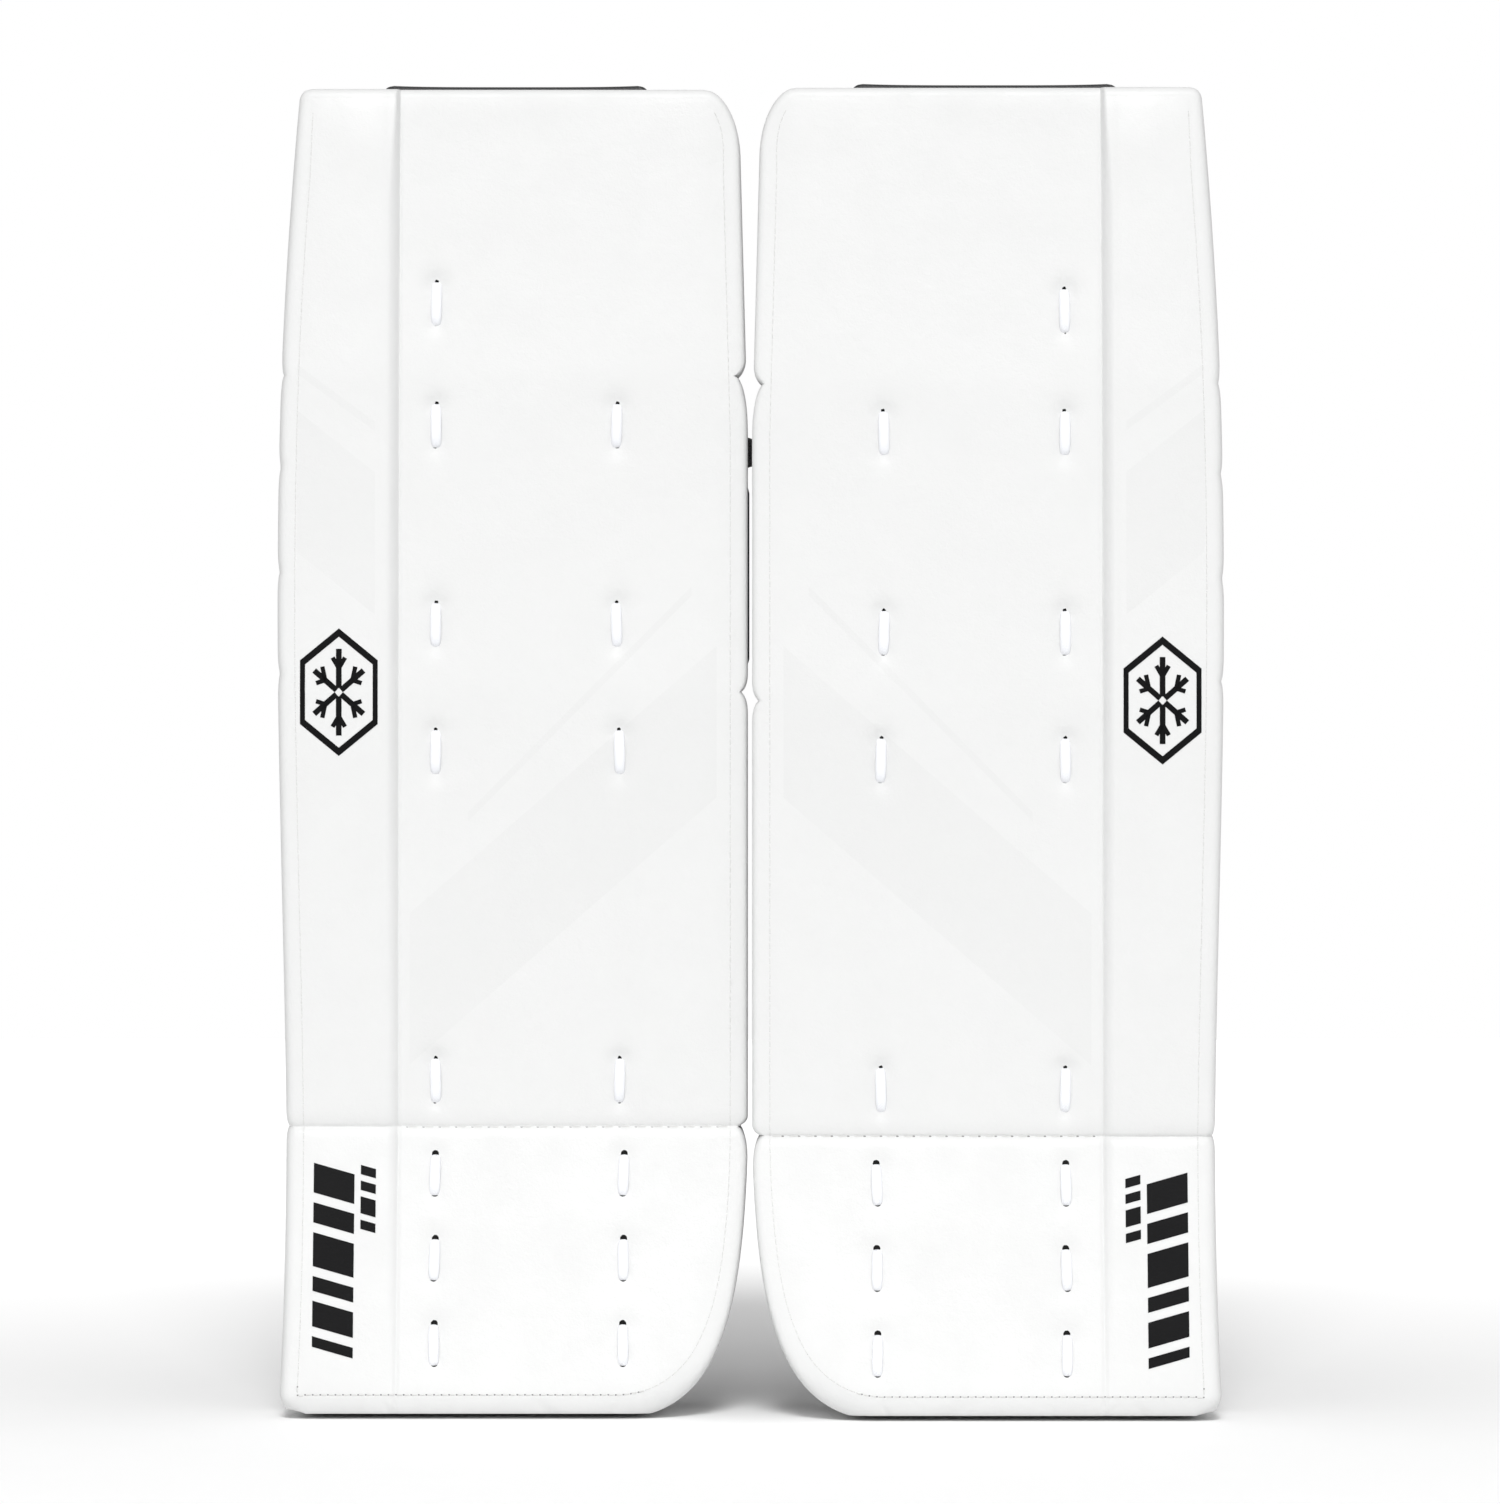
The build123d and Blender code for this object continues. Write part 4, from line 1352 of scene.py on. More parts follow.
def lace_cord():
    """White braided lace: a fine herringbone and a cool, soft sheen."""
    graph = Graph("lace_cord", (0.80, 0.81, 0.84), 0.7, Specular_IOR_Level=0.25, Sheen_Weight=0.1)
    vector = graph.attribute("pad_mm")
    split = graph.node("ShaderNodeSeparateXYZ", Vector=vector)
    lean = graph.math("MULTIPLY", graph.math("PINGPONG", split.outputs[0], 1.2), 1.4)
    wave = graph.math("SINE", graph.math("MULTIPLY", graph.math("ADD", split.outputs[2], lean), 5.2))
    graph.output("Normal", graph.bump(wave, 0.035))
    shade = graph.spread(wave, 0.0, 1.0, -1.0, 1.0)
    graph.output("Base Color", graph.mix(shade, (0.80, 0.81, 0.84, 1), (0.87, 0.88, 0.91, 1)))
    return graph.material


def painted_hole_shade():
    """Painted shade: near-black ovals for the shaded inside of a lace hole."""
    graph = Graph("lace_hole_painted_shade", (0.012, 0.012, 0.012), 0.95, Specular_IOR_Level=0.1)
    rough = graph.noise(graph.object_mm(), 1.5)
    graph.output("Roughness", graph.spread(rough, 0.85, 1.0))
    return graph.material


def needle_hole_painted_shade():
    """Painted shade: grey ovals for the shaded dent that a stitch goes into."""
    graph = Graph("needle_hole_painted_shade", (0.25, 0.25, 0.25), 0.9, Specular_IOR_Level=0.1)
    tone = graph.noise(graph.object_mm(), 0.3)
    graph.output("Base Color", graph.mix(tone, (0.12, 0.12, 0.12, 1), (0.42, 0.42, 0.42, 1)))
    return graph.material


def white_thread():
    """Twisted polyester thread."""
    graph = Graph("white_thread", (0.70, 0.70, 0.69), 0.6, Specular_IOR_Level=0.3)
    twist = graph.noise(graph.object_mm(), 3.2, 1.0)
    graph.output("Normal", graph.bump(twist, 0.08))
    return graph.material


def black_print():
    """Screen-printed black ink, with a slight gloss and the leather's grain."""
    graph = Graph("black_print", (0.004, 0.004, 0.0045), 0.5, Specular_IOR_Level=0.10)
    vector = graph.object_mm()
    grain = graph.cells(vector, 1.15)
    graph.output("Normal", graph.bump(grain, 0.04))
    graph.output("Roughness", graph.spread(graph.noise(vector, 0.3), 0.36, 0.52))
    return graph.material


# ---------------------------------------------------------------- the black back

LINING_EDGE = 8.0
KNEE_BULGE = 4.1
BULGE_TOP = 452.0
LININGS = {"lower": ("boot_back",), "middle": ("shin_back",), "upper": ("knee_back", "thigh_back")}
TONGUE = (49.0, 180.0)
TONGUE_SPAN = (590.0, 642.1)
TONGUE_CORNER = 6.0
TONGUE_BINDING = 7.0
TONGUE_THICK = 1.7
TONGUE_EARS = 0.9


def lining_depth(pad, u, z):
    """Depth of the back lining: a rounded binding round its edge, and a soft panel inside it."""
    flat = np.stack([u.ravel(), z.ravel()], axis=1)
    away = nearest_rim(BACK_RIM, flat)[0].reshape(u.shape)
    across = np.clip(away / LINING_EDGE, 0.0, 1.0)
    binding = 0.4 + 3.1 * np.sqrt(np.maximum(0.0, 1.0 - np.abs(2.0 * across - 1.0) ** 2.6))
    panel = 2.1 + 1.5 * (1.0 - np.exp(-np.maximum(away - LINING_EDGE, 0.0) / 9.0))
    stand = np.where(away < LINING_EDGE / 2, binding, np.maximum(binding, panel))
    inside = smooth((away - LINING_EDGE + 2.0) / 4.0)
    for line in pad.line:
        gap = z - (pad.line[line] - BACK_LINE_DROP[line])
        stand = stand - (0.8 + 1.8 * inside) * pillow(gap / 10.0, 1.0)
    ripple = 0.35 * np.sin(u / 17.0 + 0.9) * np.sin(z / 21.0 + 2.0)
    return pad.back_y(z) + stand + ripple * inside


def make_lining(pad, nylon, binding, thread_material):
    """The black lining of a pad's back, in three parts cut where the skin is cut."""
    z = pad_rows(pad, BACK_RIM, 3.6, 1.6)
    columns = graded(COLUMN_KNOTS[0], COLUMN_KNOTS[3], 3.8,
                     [(COLUMN_KNOTS[0], 11.0, 0.9), (COLUMN_KNOTS[3], 11.0, 0.9)])
    flat_u = across_row(BACK_RIM, columns, z)
    heights = np.repeat(z[:, None], flat_u.shape[1], axis=1)
    depth = lining_depth(pad, flat_u, heights)
    u = drawn_in(pad, flat_u, heights)
    index = np.arange(u.size).reshape(u.shape)
    points = np.stack([u, depth, heights], axis=2).reshape(-1, 3)
    faces = grid_faces(index)[:, ::-1]
    bands = np.arange(len(z) - 1).repeat(u.shape[1] - 1)
    normals = vertex_normals(points, faces)
    centres = np.stack([flat_u.ravel(), heights.ravel()], axis=1)[faces].mean(axis=1)
    away = nearest_rim(BACK_RIM, centres)[0]
    kinds = np.where(away < LINING_EDGE, 1, 0)
    for part, (first, last) in split_rows(pad, z).items():
        chosen = (bands >= first) & (bands < last)
        used, rows = only_used(points, faces[chosen])
        piece = make_mesh(
            pad.name(f"lining_{part}"), pad.world(points[used]), turned(pad, rows),
            [nylon, binding], rest=points[used], choice=kinds[chosen],
            normals=frame_normals(pad, normals[used]),
        )
        bend(piece, pad, part)
        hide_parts(*[pad.name(node) for node in LININGS[part]])
    binding_stitches(pad, thread_material)


def drawn_in(pad, u, z):
    """Places across, drawn in at the flex lines as the skin's edge is.

    The right pad's binding bulges towards the other pad beside the knee."""
    low, high = u.min(axis=1, keepdims=True), u.max(axis=1, keepdims=True)
    inner = notch(pad, z) * np.exp(-((u - low) / 16.0) ** 2)
    outer = pinch(pad, z) * np.exp(-((high - u) / 16.0) ** 2)
    if pad.sign < 0:
        beside = smooth((z - pad.line["knee"] - 6.0) / 10.0) * smooth((BULGE_TOP - z) / 8.0)
        inner = inner - KNEE_BULGE * beside * np.exp(-((u - low) / 7.0) ** 2)
    return u + inner - outer


def binding_stitches(pad, material):
    """The row of stitches that holds the binding round the back."""
    loop = BACK_RIM.inside - NORMALS * (LINING_EDGE - 1.6)
    loop = np.concatenate([loop, loop[:1]])
    places, along2d = spaced(loop, 4.6)
    for part in SPLITS:
        here = part_of(pad, places[:, 1]) == part
        spots, way = places[here], along2d[here]
        u, z = spots[:, 0], spots[:, 1]
        depth = lining_depth(pad, u, z)
        slope = (lining_depth(pad, u, z + 1.0) - lining_depth(pad, u, z - 1.0)) / 2.0
        moved = u + notch(pad, z) * (u < 110.0) - pinch(pad, z) * (u > 110.0)
        points = np.stack([moved, depth, z], axis=1)
        along = np.stack([way[:, 0], slope * way[:, 1], way[:, 1]], axis=1)
        along = along / np.linalg.norm(along, axis=1)[:, None]
        normals = np.stack([np.zeros_like(u), np.ones_like(u), -slope], axis=1)
        normals = normals / np.linalg.norm(normals, axis=1)[:, None]
        vertices, faces = thread(points, along, normals, 3.1, 0.42)
        faces = faces if pad.sign < 0 else faces[:, ::-1]
        piece = make_mesh(pad.name(f"binding_stitches_{part}"), pad.world(vertices), faces, [material])
        bend(piece, pad, part)


def rounded_outline(low, high, bottom, top, corners, count=8):
    """A closed rounded rectangle: corners are the radii at low-bottom, high-bottom, high-top, low-top."""
    places = []
    spots = ((low, bottom, 180), (high, bottom, 270), (high, top, 0), (low, top, 90))
    for (x, y, start), radius in zip(spots, corners):
        cx = x + radius if x == low else x - radius
        cy = y + radius if y == bottom else y - radius
        for step in range(count + 1):
            angle = math.radians(start + 90.0 * step / count)
            places.append((cx + radius * math.cos(angle), cy + radius * math.sin(angle)))
    return np.array(places)


def resample(loop, pitch):
    """A closed polyline with evenly spaced points."""
    closed = np.concatenate([loop, loop[:1]])
    steps = np.linalg.norm(np.diff(closed, axis=0), axis=1)
    run = np.concatenate([[0.0], np.cumsum(steps)])
    count = max(12, int(run[-1] / pitch))
    spots = np.arange(count) * run[-1] / count
    return np.stack([np.interp(spots, run, closed[:, axis]) for axis in range(loop.shape[1])], axis=1)


def loop_normals(loop):
    """Outward normals of a closed counter-clockwise loop."""
    along = np.roll(loop, -1, axis=0) - np.roll(loop, 1, axis=0)
    out = np.stack([along[:, 1], -along[:, 0]], axis=1)
    return out / np.maximum(np.linalg.norm(out, axis=1), 1e-9)[:, None]


# How the padded forms are blown up: voxels, pressure, frames, and the furthest a point may move
VOXEL = 4.2
PRESSURE = 4.0
LAST_FRAME = 20
MOST_MOVE = 7.0
EVENING = 9


def prism(loop, half):
    """A flat closed form with the loop as its outline, as an object whose unit is the metre."""
    count = len(loop)
    front = np.concatenate([loop, np.full((count, 1), half)], axis=1)
    back = np.concatenate([loop, np.full((count, 1), -half)], axis=1)
    faces = [list(range(count)), list(range(2 * count - 1, count - 1, -1))]
    for first in range(count):
        after = (first + 1) % count
        faces.append([first, first + count, after + count, after])
    mesh = bpy.data.meshes.new("blank")
    mesh.from_pydata((np.concatenate([front, back]) * MM).tolist(), [], faces)
    blank = bpy.data.objects.new("blank", mesh)
    bpy.context.scene.collection.objects.link(blank)
    return blank


def bake(blank):
    """Replaces an object's mesh with what its modifiers make of it."""
    graph = bpy.context.evaluated_depsgraph_get()
    mesh = bpy.data.meshes.new_from_object(blank.evaluated_get(graph))
    blank.modifiers.clear()
    blank.data = mesh


def coordinates(mesh):
    """A mesh's vertices as an array."""
    values = np.zeros(len(mesh.vertices) * 3)
    mesh.vertices.foreach_get("co", values)
    return values.reshape(-1, 3)


def inflate(blank):
    """Blows a closed form up with air pressure, so that its sides pull in between its corners."""
    start = coordinates(blank.data)
    cloth = blank.modifiers.new("cloth", "CLOTH")
    cloth.settings.use_pressure = True
    cloth.settings.uniform_pressure_force = PRESSURE
    cloth.settings.effector_weights.gravity = 0.0
    cloth.settings.quality = 4
    cloth.point_cache.frame_end = LAST_FRAME
    scene = bpy.context.scene
    for step in range(1, LAST_FRAME + 1):
        scene.frame_set(step)
    graph = bpy.context.evaluated_depsgraph_get()
    moved = coordinates(blank.evaluated_get(graph).data) - start
    far = np.linalg.norm(moved, axis=1)
    most = MOST_MOVE * MM
    moved = moved * np.minimum(1.0, most / np.maximum(far, 1e-9))[:, None]
    blank.modifiers.clear()
    blank.data.vertices.foreach_set("co", (start + moved).ravel())
    blank.data.update()
    scene.frame_set(1)


def stuffed(loop, thickness, shrink=2.5, flat=0.66):
    """A stuffed form: (points, faces) in millimetres, fitted to the loop's box and the thickness."""
    start = resample(loop, 4.0)
    start = start - loop_normals(start) * shrink
    blank = prism(start, thickness * flat / 2)
    remesh = blank.modifiers.new("remesh", "REMESH")
    remesh.mode = "VOXEL"
    remesh.voxel_size = VOXEL * MM
    bake(blank)
    inflate(blank)
    even = blank.modifiers.new("even", "SMOOTH")
    even.factor = 0.5
    even.iterations = EVENING
    finer = blank.modifiers.new("finer", "SUBSURF")
    finer.levels = 1
    finer.render_levels = 1
    bake(blank)
    points = coordinates(blank.data) / MM
    faces = [list(face.vertices) for face in blank.data.polygons]
    bpy.data.objects.remove(blank)
    lowest = np.array([loop[:, 0].min(), loop[:, 1].min(), -thickness / 2])
    highest = np.array([loop[:, 0].max(), loop[:, 1].max(), thickness / 2])
    low, high = points.min(0), points.max(0)
    return lowest + (points - low) * (highest - lowest) / (high - low), faces


def rim_of(form, loop, pitch=3.0):
    """The line round the widest part of a stuffed form, found on its surface."""
    points, faces = form
    tree = BVHTree.FromPolygons([Vector(point) for point in points], faces)
    even = resample(loop, pitch)
    out = loop_normals(even)
    line = []
    for place, way in zip(even, out):
        origin = Vector((*(place + way * 12.0), 0.0))
        hit = tree.ray_cast(origin, Vector((*(-way), 0.0)))[0]
        line.append(hit if hit is not None else Vector((*place, 0.0)))
    line = np.array(line)
    for _ in range(3):
        line = (np.roll(line, 1, axis=0) + 2 * line + np.roll(line, -1, axis=0)) / 4
    return line, out


def tube_ring(line, out, radius, sides=8):
    """A closed welt along a rim line: points and quads."""
    count = len(line)
    out3 = np.concatenate([out, np.zeros((count, 1))], axis=1)
    rings = []
    for turn in np.arange(sides) * 2 * math.pi / sides:
        lift = out3 * (radius * math.cos(turn) + 0.35 * radius)
        rings.append(line + lift + np.array([0.0, 0.0, 1.0]) * radius * math.sin(turn))
    points = np.stack(rings, axis=1).reshape(-1, 3)
    index = np.arange(count * sides).reshape(count, sides)
    index = np.concatenate([index, index[:1]])
    index = np.concatenate([index, index[:, :1]], axis=1)
    return points, grid_faces(index)


def on_form(form, places, sides):
    """Points on a stuffed form's surface at (a, b) places, on its upper (1) or lower (-1) side."""
    points, faces = form
    tree = BVHTree.FromPolygons([Vector(point) for point in points], faces)
    found, normals = [], []
    for place in places:
        origin = Vector((place[0], place[1], 60.0 * sides))
        hit, normal, _, _ = tree.ray_cast(origin, Vector((0.0, 0.0, -sides)))
        if hit is None:
            hit, normal = Vector((place[0], place[1], 0.0)), Vector((0, 0, sides))
        if normal.z * sides < 0:
            normal = -normal
        found.append(hit)
        normals.append(normal)
    return np.array(found), np.array(normals)


def edge_stitches(form, loop, inset, side, pitch=4.2):
    """A row of stitches a fixed distance inside a form's outline."""
    even = resample(loop, 2.0)
    inner = even - loop_normals(even) * inset
    places, along2d = spaced(np.concatenate([inner, inner[:1]]), pitch)
    points, normals = on_form(form, places, side)
    along = np.concatenate([along2d, np.zeros((len(along2d), 1))], axis=1)
    along = along - normals * (along * normals).sum(1)[:, None]
    along = along / np.linalg.norm(along, axis=1)[:, None]
    return thread(points, along, normals, 2.9, 0.42)


class Padding:
    """A stuffed form with its welt and stitches, ready to be set in place on either pad."""

    def __init__(self, loop, thickness, inset=7.0, welt=1.5, flat=0.66, channels=()):
        """Inset is the stitches' distance from the edge, and welt the welt's radius."""
        self.form = stuffed(loop, thickness, flat=flat)
        self.quilt(channels, thickness)
        line, out = rim_of(self.form, loop)
        self.welt = tube_ring(line, out, welt)
        self.stitches = joined([edge_stitches(self.form, loop, inset, side) for side in (1, -1)])

    def quilt(self, channels, thickness):
        """Presses sewn channels into the upper side. A channel is (axis, place)."""
        points = self.form[0]
        raised = np.clip(points[:, 2] / (thickness / 2), 0.0, 1.0)
        for axis, place in channels:
            press = 2.6 * np.exp(-(((points[:, axis] - place) / 2.6) ** 2))
            points[:, 2] -= press * raised

    def place(self, pad, name, body, node, to_pad, materials, outer, fill=0.6):
        """Makes the pieces. to_pad maps the form's points to the pad; outer is the side with leather."""
        leather, nylon, welt, thread_material = materials
        points, faces = self.form
        middle = points[np.array(faces)].mean(axis=1)[:, 2]
        kinds = np.where(middle * outer > 0, 0, 1) if outer else np.ones(len(faces), int)
        piece = self.piece(pad, name, points, faces, to_pad, [leather, nylon], kinds)
        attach(piece, pad.name(body))
        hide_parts(pad.name(node))
        trims = ((f"{name}_welt", self.welt, welt), (f"{name}_stitches", self.stitches, thread_material))
        for trim_name, (points, faces), material in trims:
            trim = self.piece(pad, trim_name, points, faces, to_pad, [material])
            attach(trim, pad.name(body))

    @staticmethod
    def piece(pad, name, points, faces, to_pad, materials, kinds=None):
        """A mesh set in its place on the pad, and no lower than the floor."""
        placed = pad.world(to_pad(points))
        placed[:, 2] = np.maximum(placed[:, 2], 0.0)
        faces = np.array(faces)
        if inside_out(placed, faces):
            faces = faces[:, ::-1]
        return make_mesh(pad.name(name), placed, faces, materials, choice=kinds)


def inside_out(points, faces):
    """Whether a closed mesh's faces look inwards, from the sign of its volume."""
    quads = np.array([face for face in faces if len(face) == 4])
    corners = points[quads] - points.mean(axis=0)
    across = np.cross(corners[:, 2] - corners[:, 0], corners[:, 3] - corners[:, 1])
    return float((corners.mean(axis=1) * across).sum()) < 0


WING = 14.0
WING_AXIS = 63.4
WING_FRONT = WING_AXIS - WING / 2
CALF = {"reach": 62.0, "span": (27.0, 182.0), "inner": 37.0, "outer": 179.0}
KNEE = {"reach": 56.0, "span": (22.0, 144.0), "outer": 183.0}
WING_CORNER = 24.0
# Cradles and block: their span across and up their section, their depth, and the cradles' channels
CRADLES = {
    "shin": ((58.0, 158.0), (27.0, 182.0), 14.0, 4),
    "knee": ((92.0, 166.0), (22.0, 122.0), 12.0, 3),
}
CRADLE_CORNERS = (6.0,) * 4
BLOCK = ((14.0, 74.0), (22.0, 122.0), 46.0)
BOOT_SIDE = {"thick": 13.0, "starts": {"inner": 50.0, "outer": 165.0}, "back": 86.0, "top": 118.0,
             "corners": (3.0, 4.0, 20.0, 3.0)}
BACK_FACE = 56.2
BLOCK_GAP = 0.4
# How a form's own axes are ordered in a section: a wing stands on edge, and a cradle lies flat
ON_EDGE = (2, 0, 1)
LYING = (0, 2, 1)
OUTER_SIDE = {"inner": -1, "outer": 1}


def wing_loop(reach, span):
    """A wing from the side: (back, up), with large corners at its free edge."""
    return rounded_outline(WING_FRONT, WING_AXIS + reach, *span, (4.0, WING_CORNER, WING_CORNER, 4.0))


def set_in(pad, section=None, axes=(0, 1, 2), shift=0.0):
    """Maps points to the pad from a section's space: shift is added to their third axis, then the
    axes are put in the order given. With no section they are in the pad's own space."""
    def to_pad(points):
        local = (points + np.array([0.0, 0.0, shift]))[:, axes]
        return pad.in_section(section, local) if section else local
    return to_pad


def boot_side_loop(pad):
    """A side of the boot's cradle: (back, up), against the leaning back of the boot."""
    lean = math.radians(LEAN["boot"])
    top, back = BOOT_SIDE["top"], BOOT_SIDE["back"]
    low_front = BACK_FACE / math.cos(lean) - pad.line["boot"] * math.tan(lean)
    corner = rounded_outline(low_front, back, 0.0, top, BOOT_SIDE["corners"])
    slope = top * math.tan(lean) * np.clip(corner[:, 1] / top, 0, 1)
    share = (back - corner[:, 0]) / (back - low_front)
    corner[:, 0] += slope * share
    return corner


def cradle_form(section):
    """A cradle, with its sewn channels evenly spaced across."""
    (low, high), span, deep, count = CRADLES[section]
    lines = [(0, low + (high - low) * (number + 1) / (count + 1)) for number in range(count)]
    return Padding(rounded_outline(low, high, *span, CRADLE_CORNERS), deep, channels=lines)


def make_forms():
    """Every stuffed form, blown up once and used on both pads."""
    block_loop = rounded_outline(*BLOCK[0], *BLOCK[1], CRADLE_CORNERS)
    return {
        "calf": Padding(wing_loop(CALF["reach"], CALF["span"]), WING),
        "knee": Padding(wing_loop(KNEE["reach"], KNEE["span"]), WING),
        "shin_cradle": cradle_form("shin"),
        "knee_cradle": cradle_form("knee"),
        "block": Padding(block_loop, BLOCK[2], inset=5.0, flat=0.9),
        "boot_side": Padding(boot_side_loop(PADS[0]), BOOT_SIDE["thick"], inset=6.0),
    }


def make_padding(pad, forms, materials):
    """The wings, cradles, knee block and boot sides of one pad."""
    for side, outer in OUTER_SIDE.items():
        name = f"calf_wing_{side}"
        forms["calf"].place(pad, f"{name}_pad", name, name, set_in(pad, "shin", ON_EDGE, CALF[side]),
                            materials, outer)
    forms["knee"].place(pad, "knee_wing_pad", "knee_wing", "knee_wing",
                        set_in(pad, "knee", ON_EDGE, KNEE["outer"]), materials, 1)
    for section in ("shin", "knee"):
        name = f"{section}_cradle"
        depth = BACK_FACE + CRADLES[section][2] / 2
        forms[name].place(pad, f"{name}_pad", section, name, set_in(pad, section, LYING, depth),
                          materials, 0)
    depth = BACK_FACE + BLOCK_GAP + BLOCK[2] / 2
    forms["block"].place(pad, "knee_block_pad", "knee_block", "knee_block",
                         set_in(pad, "knee", LYING, depth), materials, 0)
    for side, outer in OUTER_SIDE.items():
        middle = BOOT_SIDE["starts"][side] + BOOT_SIDE["thick"] / 2
        forms["boot_side"].place(pad, f"boot_cradle_{side}", "boot", "boot_cradle",
                                 set_in(pad, None, ON_EDGE, middle), materials, outer)


# ---------------------------------------------------------------- straps

STRAP = {"width": 25.0, "thick": 2.0}


def strip(line, across, facing, width, thick, tip=None):
    """A woven band along a line of points: points, quads and its own coordinates in millimetres.

    across and facing are unit directions: along its width, and out of its outer face."""
    line = np.asarray(line, float)
    steps = np.linalg.norm(np.diff(line, axis=0), axis=1)
    run = np.concatenate([[0.0], np.cumsum(steps)])
    half = width / 2
    profile = []
    for share in np.linspace(-1.0, 1.0, 11):
        crown = math.sqrt(max(0.0, 1.0 - abs(share) ** 8))
        profile.append((share, crown))
    for share in np.linspace(1.0, -1.0, 11)[1:-1]:
        crown = math.sqrt(max(0.0, 1.0 - abs(share) ** 8))
        profile.append((share, -crown))
    widths = np.full(len(line), half)
    if tip is not None:
        widths = np.array([np.interp(place, *tip) / 2 for place in run])
    across = np.asarray(across, float)
    facing = np.asarray(facing, float)
    if facing.ndim == 1:
        facing = np.repeat(facing[None, :], len(line), axis=0)
    points, own = [], []
    for share, crown in profile:
        points.append(line + across * (widths * share)[:, None] + facing * crown * thick / 2)
        place = np.stack([run, np.full(len(run), crown), widths * share], axis=1)
        own.append(place)
    count, sides = len(line), len(profile)
    points = np.stack(points, axis=1)
    own = np.stack(own, axis=1)
    index = np.arange(count * sides).reshape(count, sides)
    ring = np.concatenate([index, index[:, :1]], axis=1)
    faces = [list(face) for face in grid_faces(ring)]
    faces.append(list(index[0]))
    faces.append(list(index[-1][::-1]))
    return points.reshape(-1, 3), faces, own.reshape(-1, 3)


def place_strip(pad, name, body, made, to_pad, material, node=None):
    """A piece of webbing in its place on the pad, riding on its body."""
    points, faces, own = made
    placed = pad.world(to_pad(points))
    if inside_out(placed, faces):
        faces = [face[::-1] for face in faces]
    piece = make_mesh(pad.name(name), placed, faces, [material], rest=own)
    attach(piece, pad.name(body))
    if node:
        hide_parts(pad.name(node))
    return piece


def box_stitch(corner, opposite, depth, facing):
    """A stitched square with a cross in it, on a plane at that depth: points and quads of thread."""
    (x0, z0), (x1, z1) = corner, opposite
    runs = [((x0, z0), (x1, z0)), ((x1, z0), (x1, z1)), ((x1, z1), (x0, z1)), ((x0, z1), (x0, z0)),
            ((x0, z0), (x1, z1)), ((x0, z1), (x1, z0))]
    points, faces = [], []
    count = 0
    for start, end in runs:
        places, along = spaced(np.array([start, end], float), 2.8)
        spots = np.stack([places[:, 0], np.full(len(places), depth), places[:, 1]], axis=1)
        ways = np.stack([along[:, 0], np.zeros(len(along)), along[:, 1]], axis=1)
        normal = np.tile([[0.0, facing, 0.0]], (len(places), 1))
        vertices, quads = thread(spots, ways, normal, 2.2, 0.33)
        points.append(vertices)
        faces.append(quads + count)
        count += len(vertices)
    return np.concatenate(points), np.concatenate(faces)


def slider(across, depth, height, tall=25.0, wide=22.0, bar_width=3.4, thick=2.4):
    """A three-bar plastic slider round a strap: a rounded frame with a middle bar."""
    outer = rounded_outline(across - wide / 2, across + wide / 2, height - tall / 2 - 3.4,
                            height + tall / 2 + 3.4, (3.2,) * 4, 4)
    inner = rounded_outline(across - wide / 2 + bar_width, across + wide / 2 - bar_width,
                            height - tall / 2 - 0.4, height + tall / 2 + 0.4, (0.8,) * 4, 4)
    levels = ((-1.0, 0.35), (-0.75, 0.0), (0.75, 0.0), (1.0, 0.35))
    points, faces = [], []
    rings = []
    for level, draw in levels:
        for loop, way in ((outer, -1.0), (inner, 1.0)):
            even = loop + loop_normals(loop) * draw * way
            spots = np.stack([even[:, 0], np.full(len(even), depth + level * thick / 2), even[:, 1]], axis=1)
            rings.append(np.arange(len(loop)) + sum(len(group) for group in points))
            points.append(spots)
    order = [0, 2, 4, 6, 7, 5, 3, 1, 0]
    stack = np.stack([rings[number] for number in order])
    stack = np.concatenate([stack, stack[:, :1]], axis=1)
    faces.append(grid_faces(stack))
    count = sum(len(group) for group in points)
    bar_line = np.stack([np.full(9, across), np.full(9, depth + 1.3),
                         np.linspace(height - tall / 2 - 2.0, height + tall / 2 + 2.0, 9)], axis=1)
    middle, quads, _ = strip(bar_line, (1.0, 0.0, 0.0), (0.0, 1.0, 0.0), 4.6, 2.2)
    everything = [[int(corner) for corner in face] for face in np.concatenate(faces)]
    everything += [[corner + count for corner in face] for face in quads]
    return np.concatenate(points + [middle]), everything


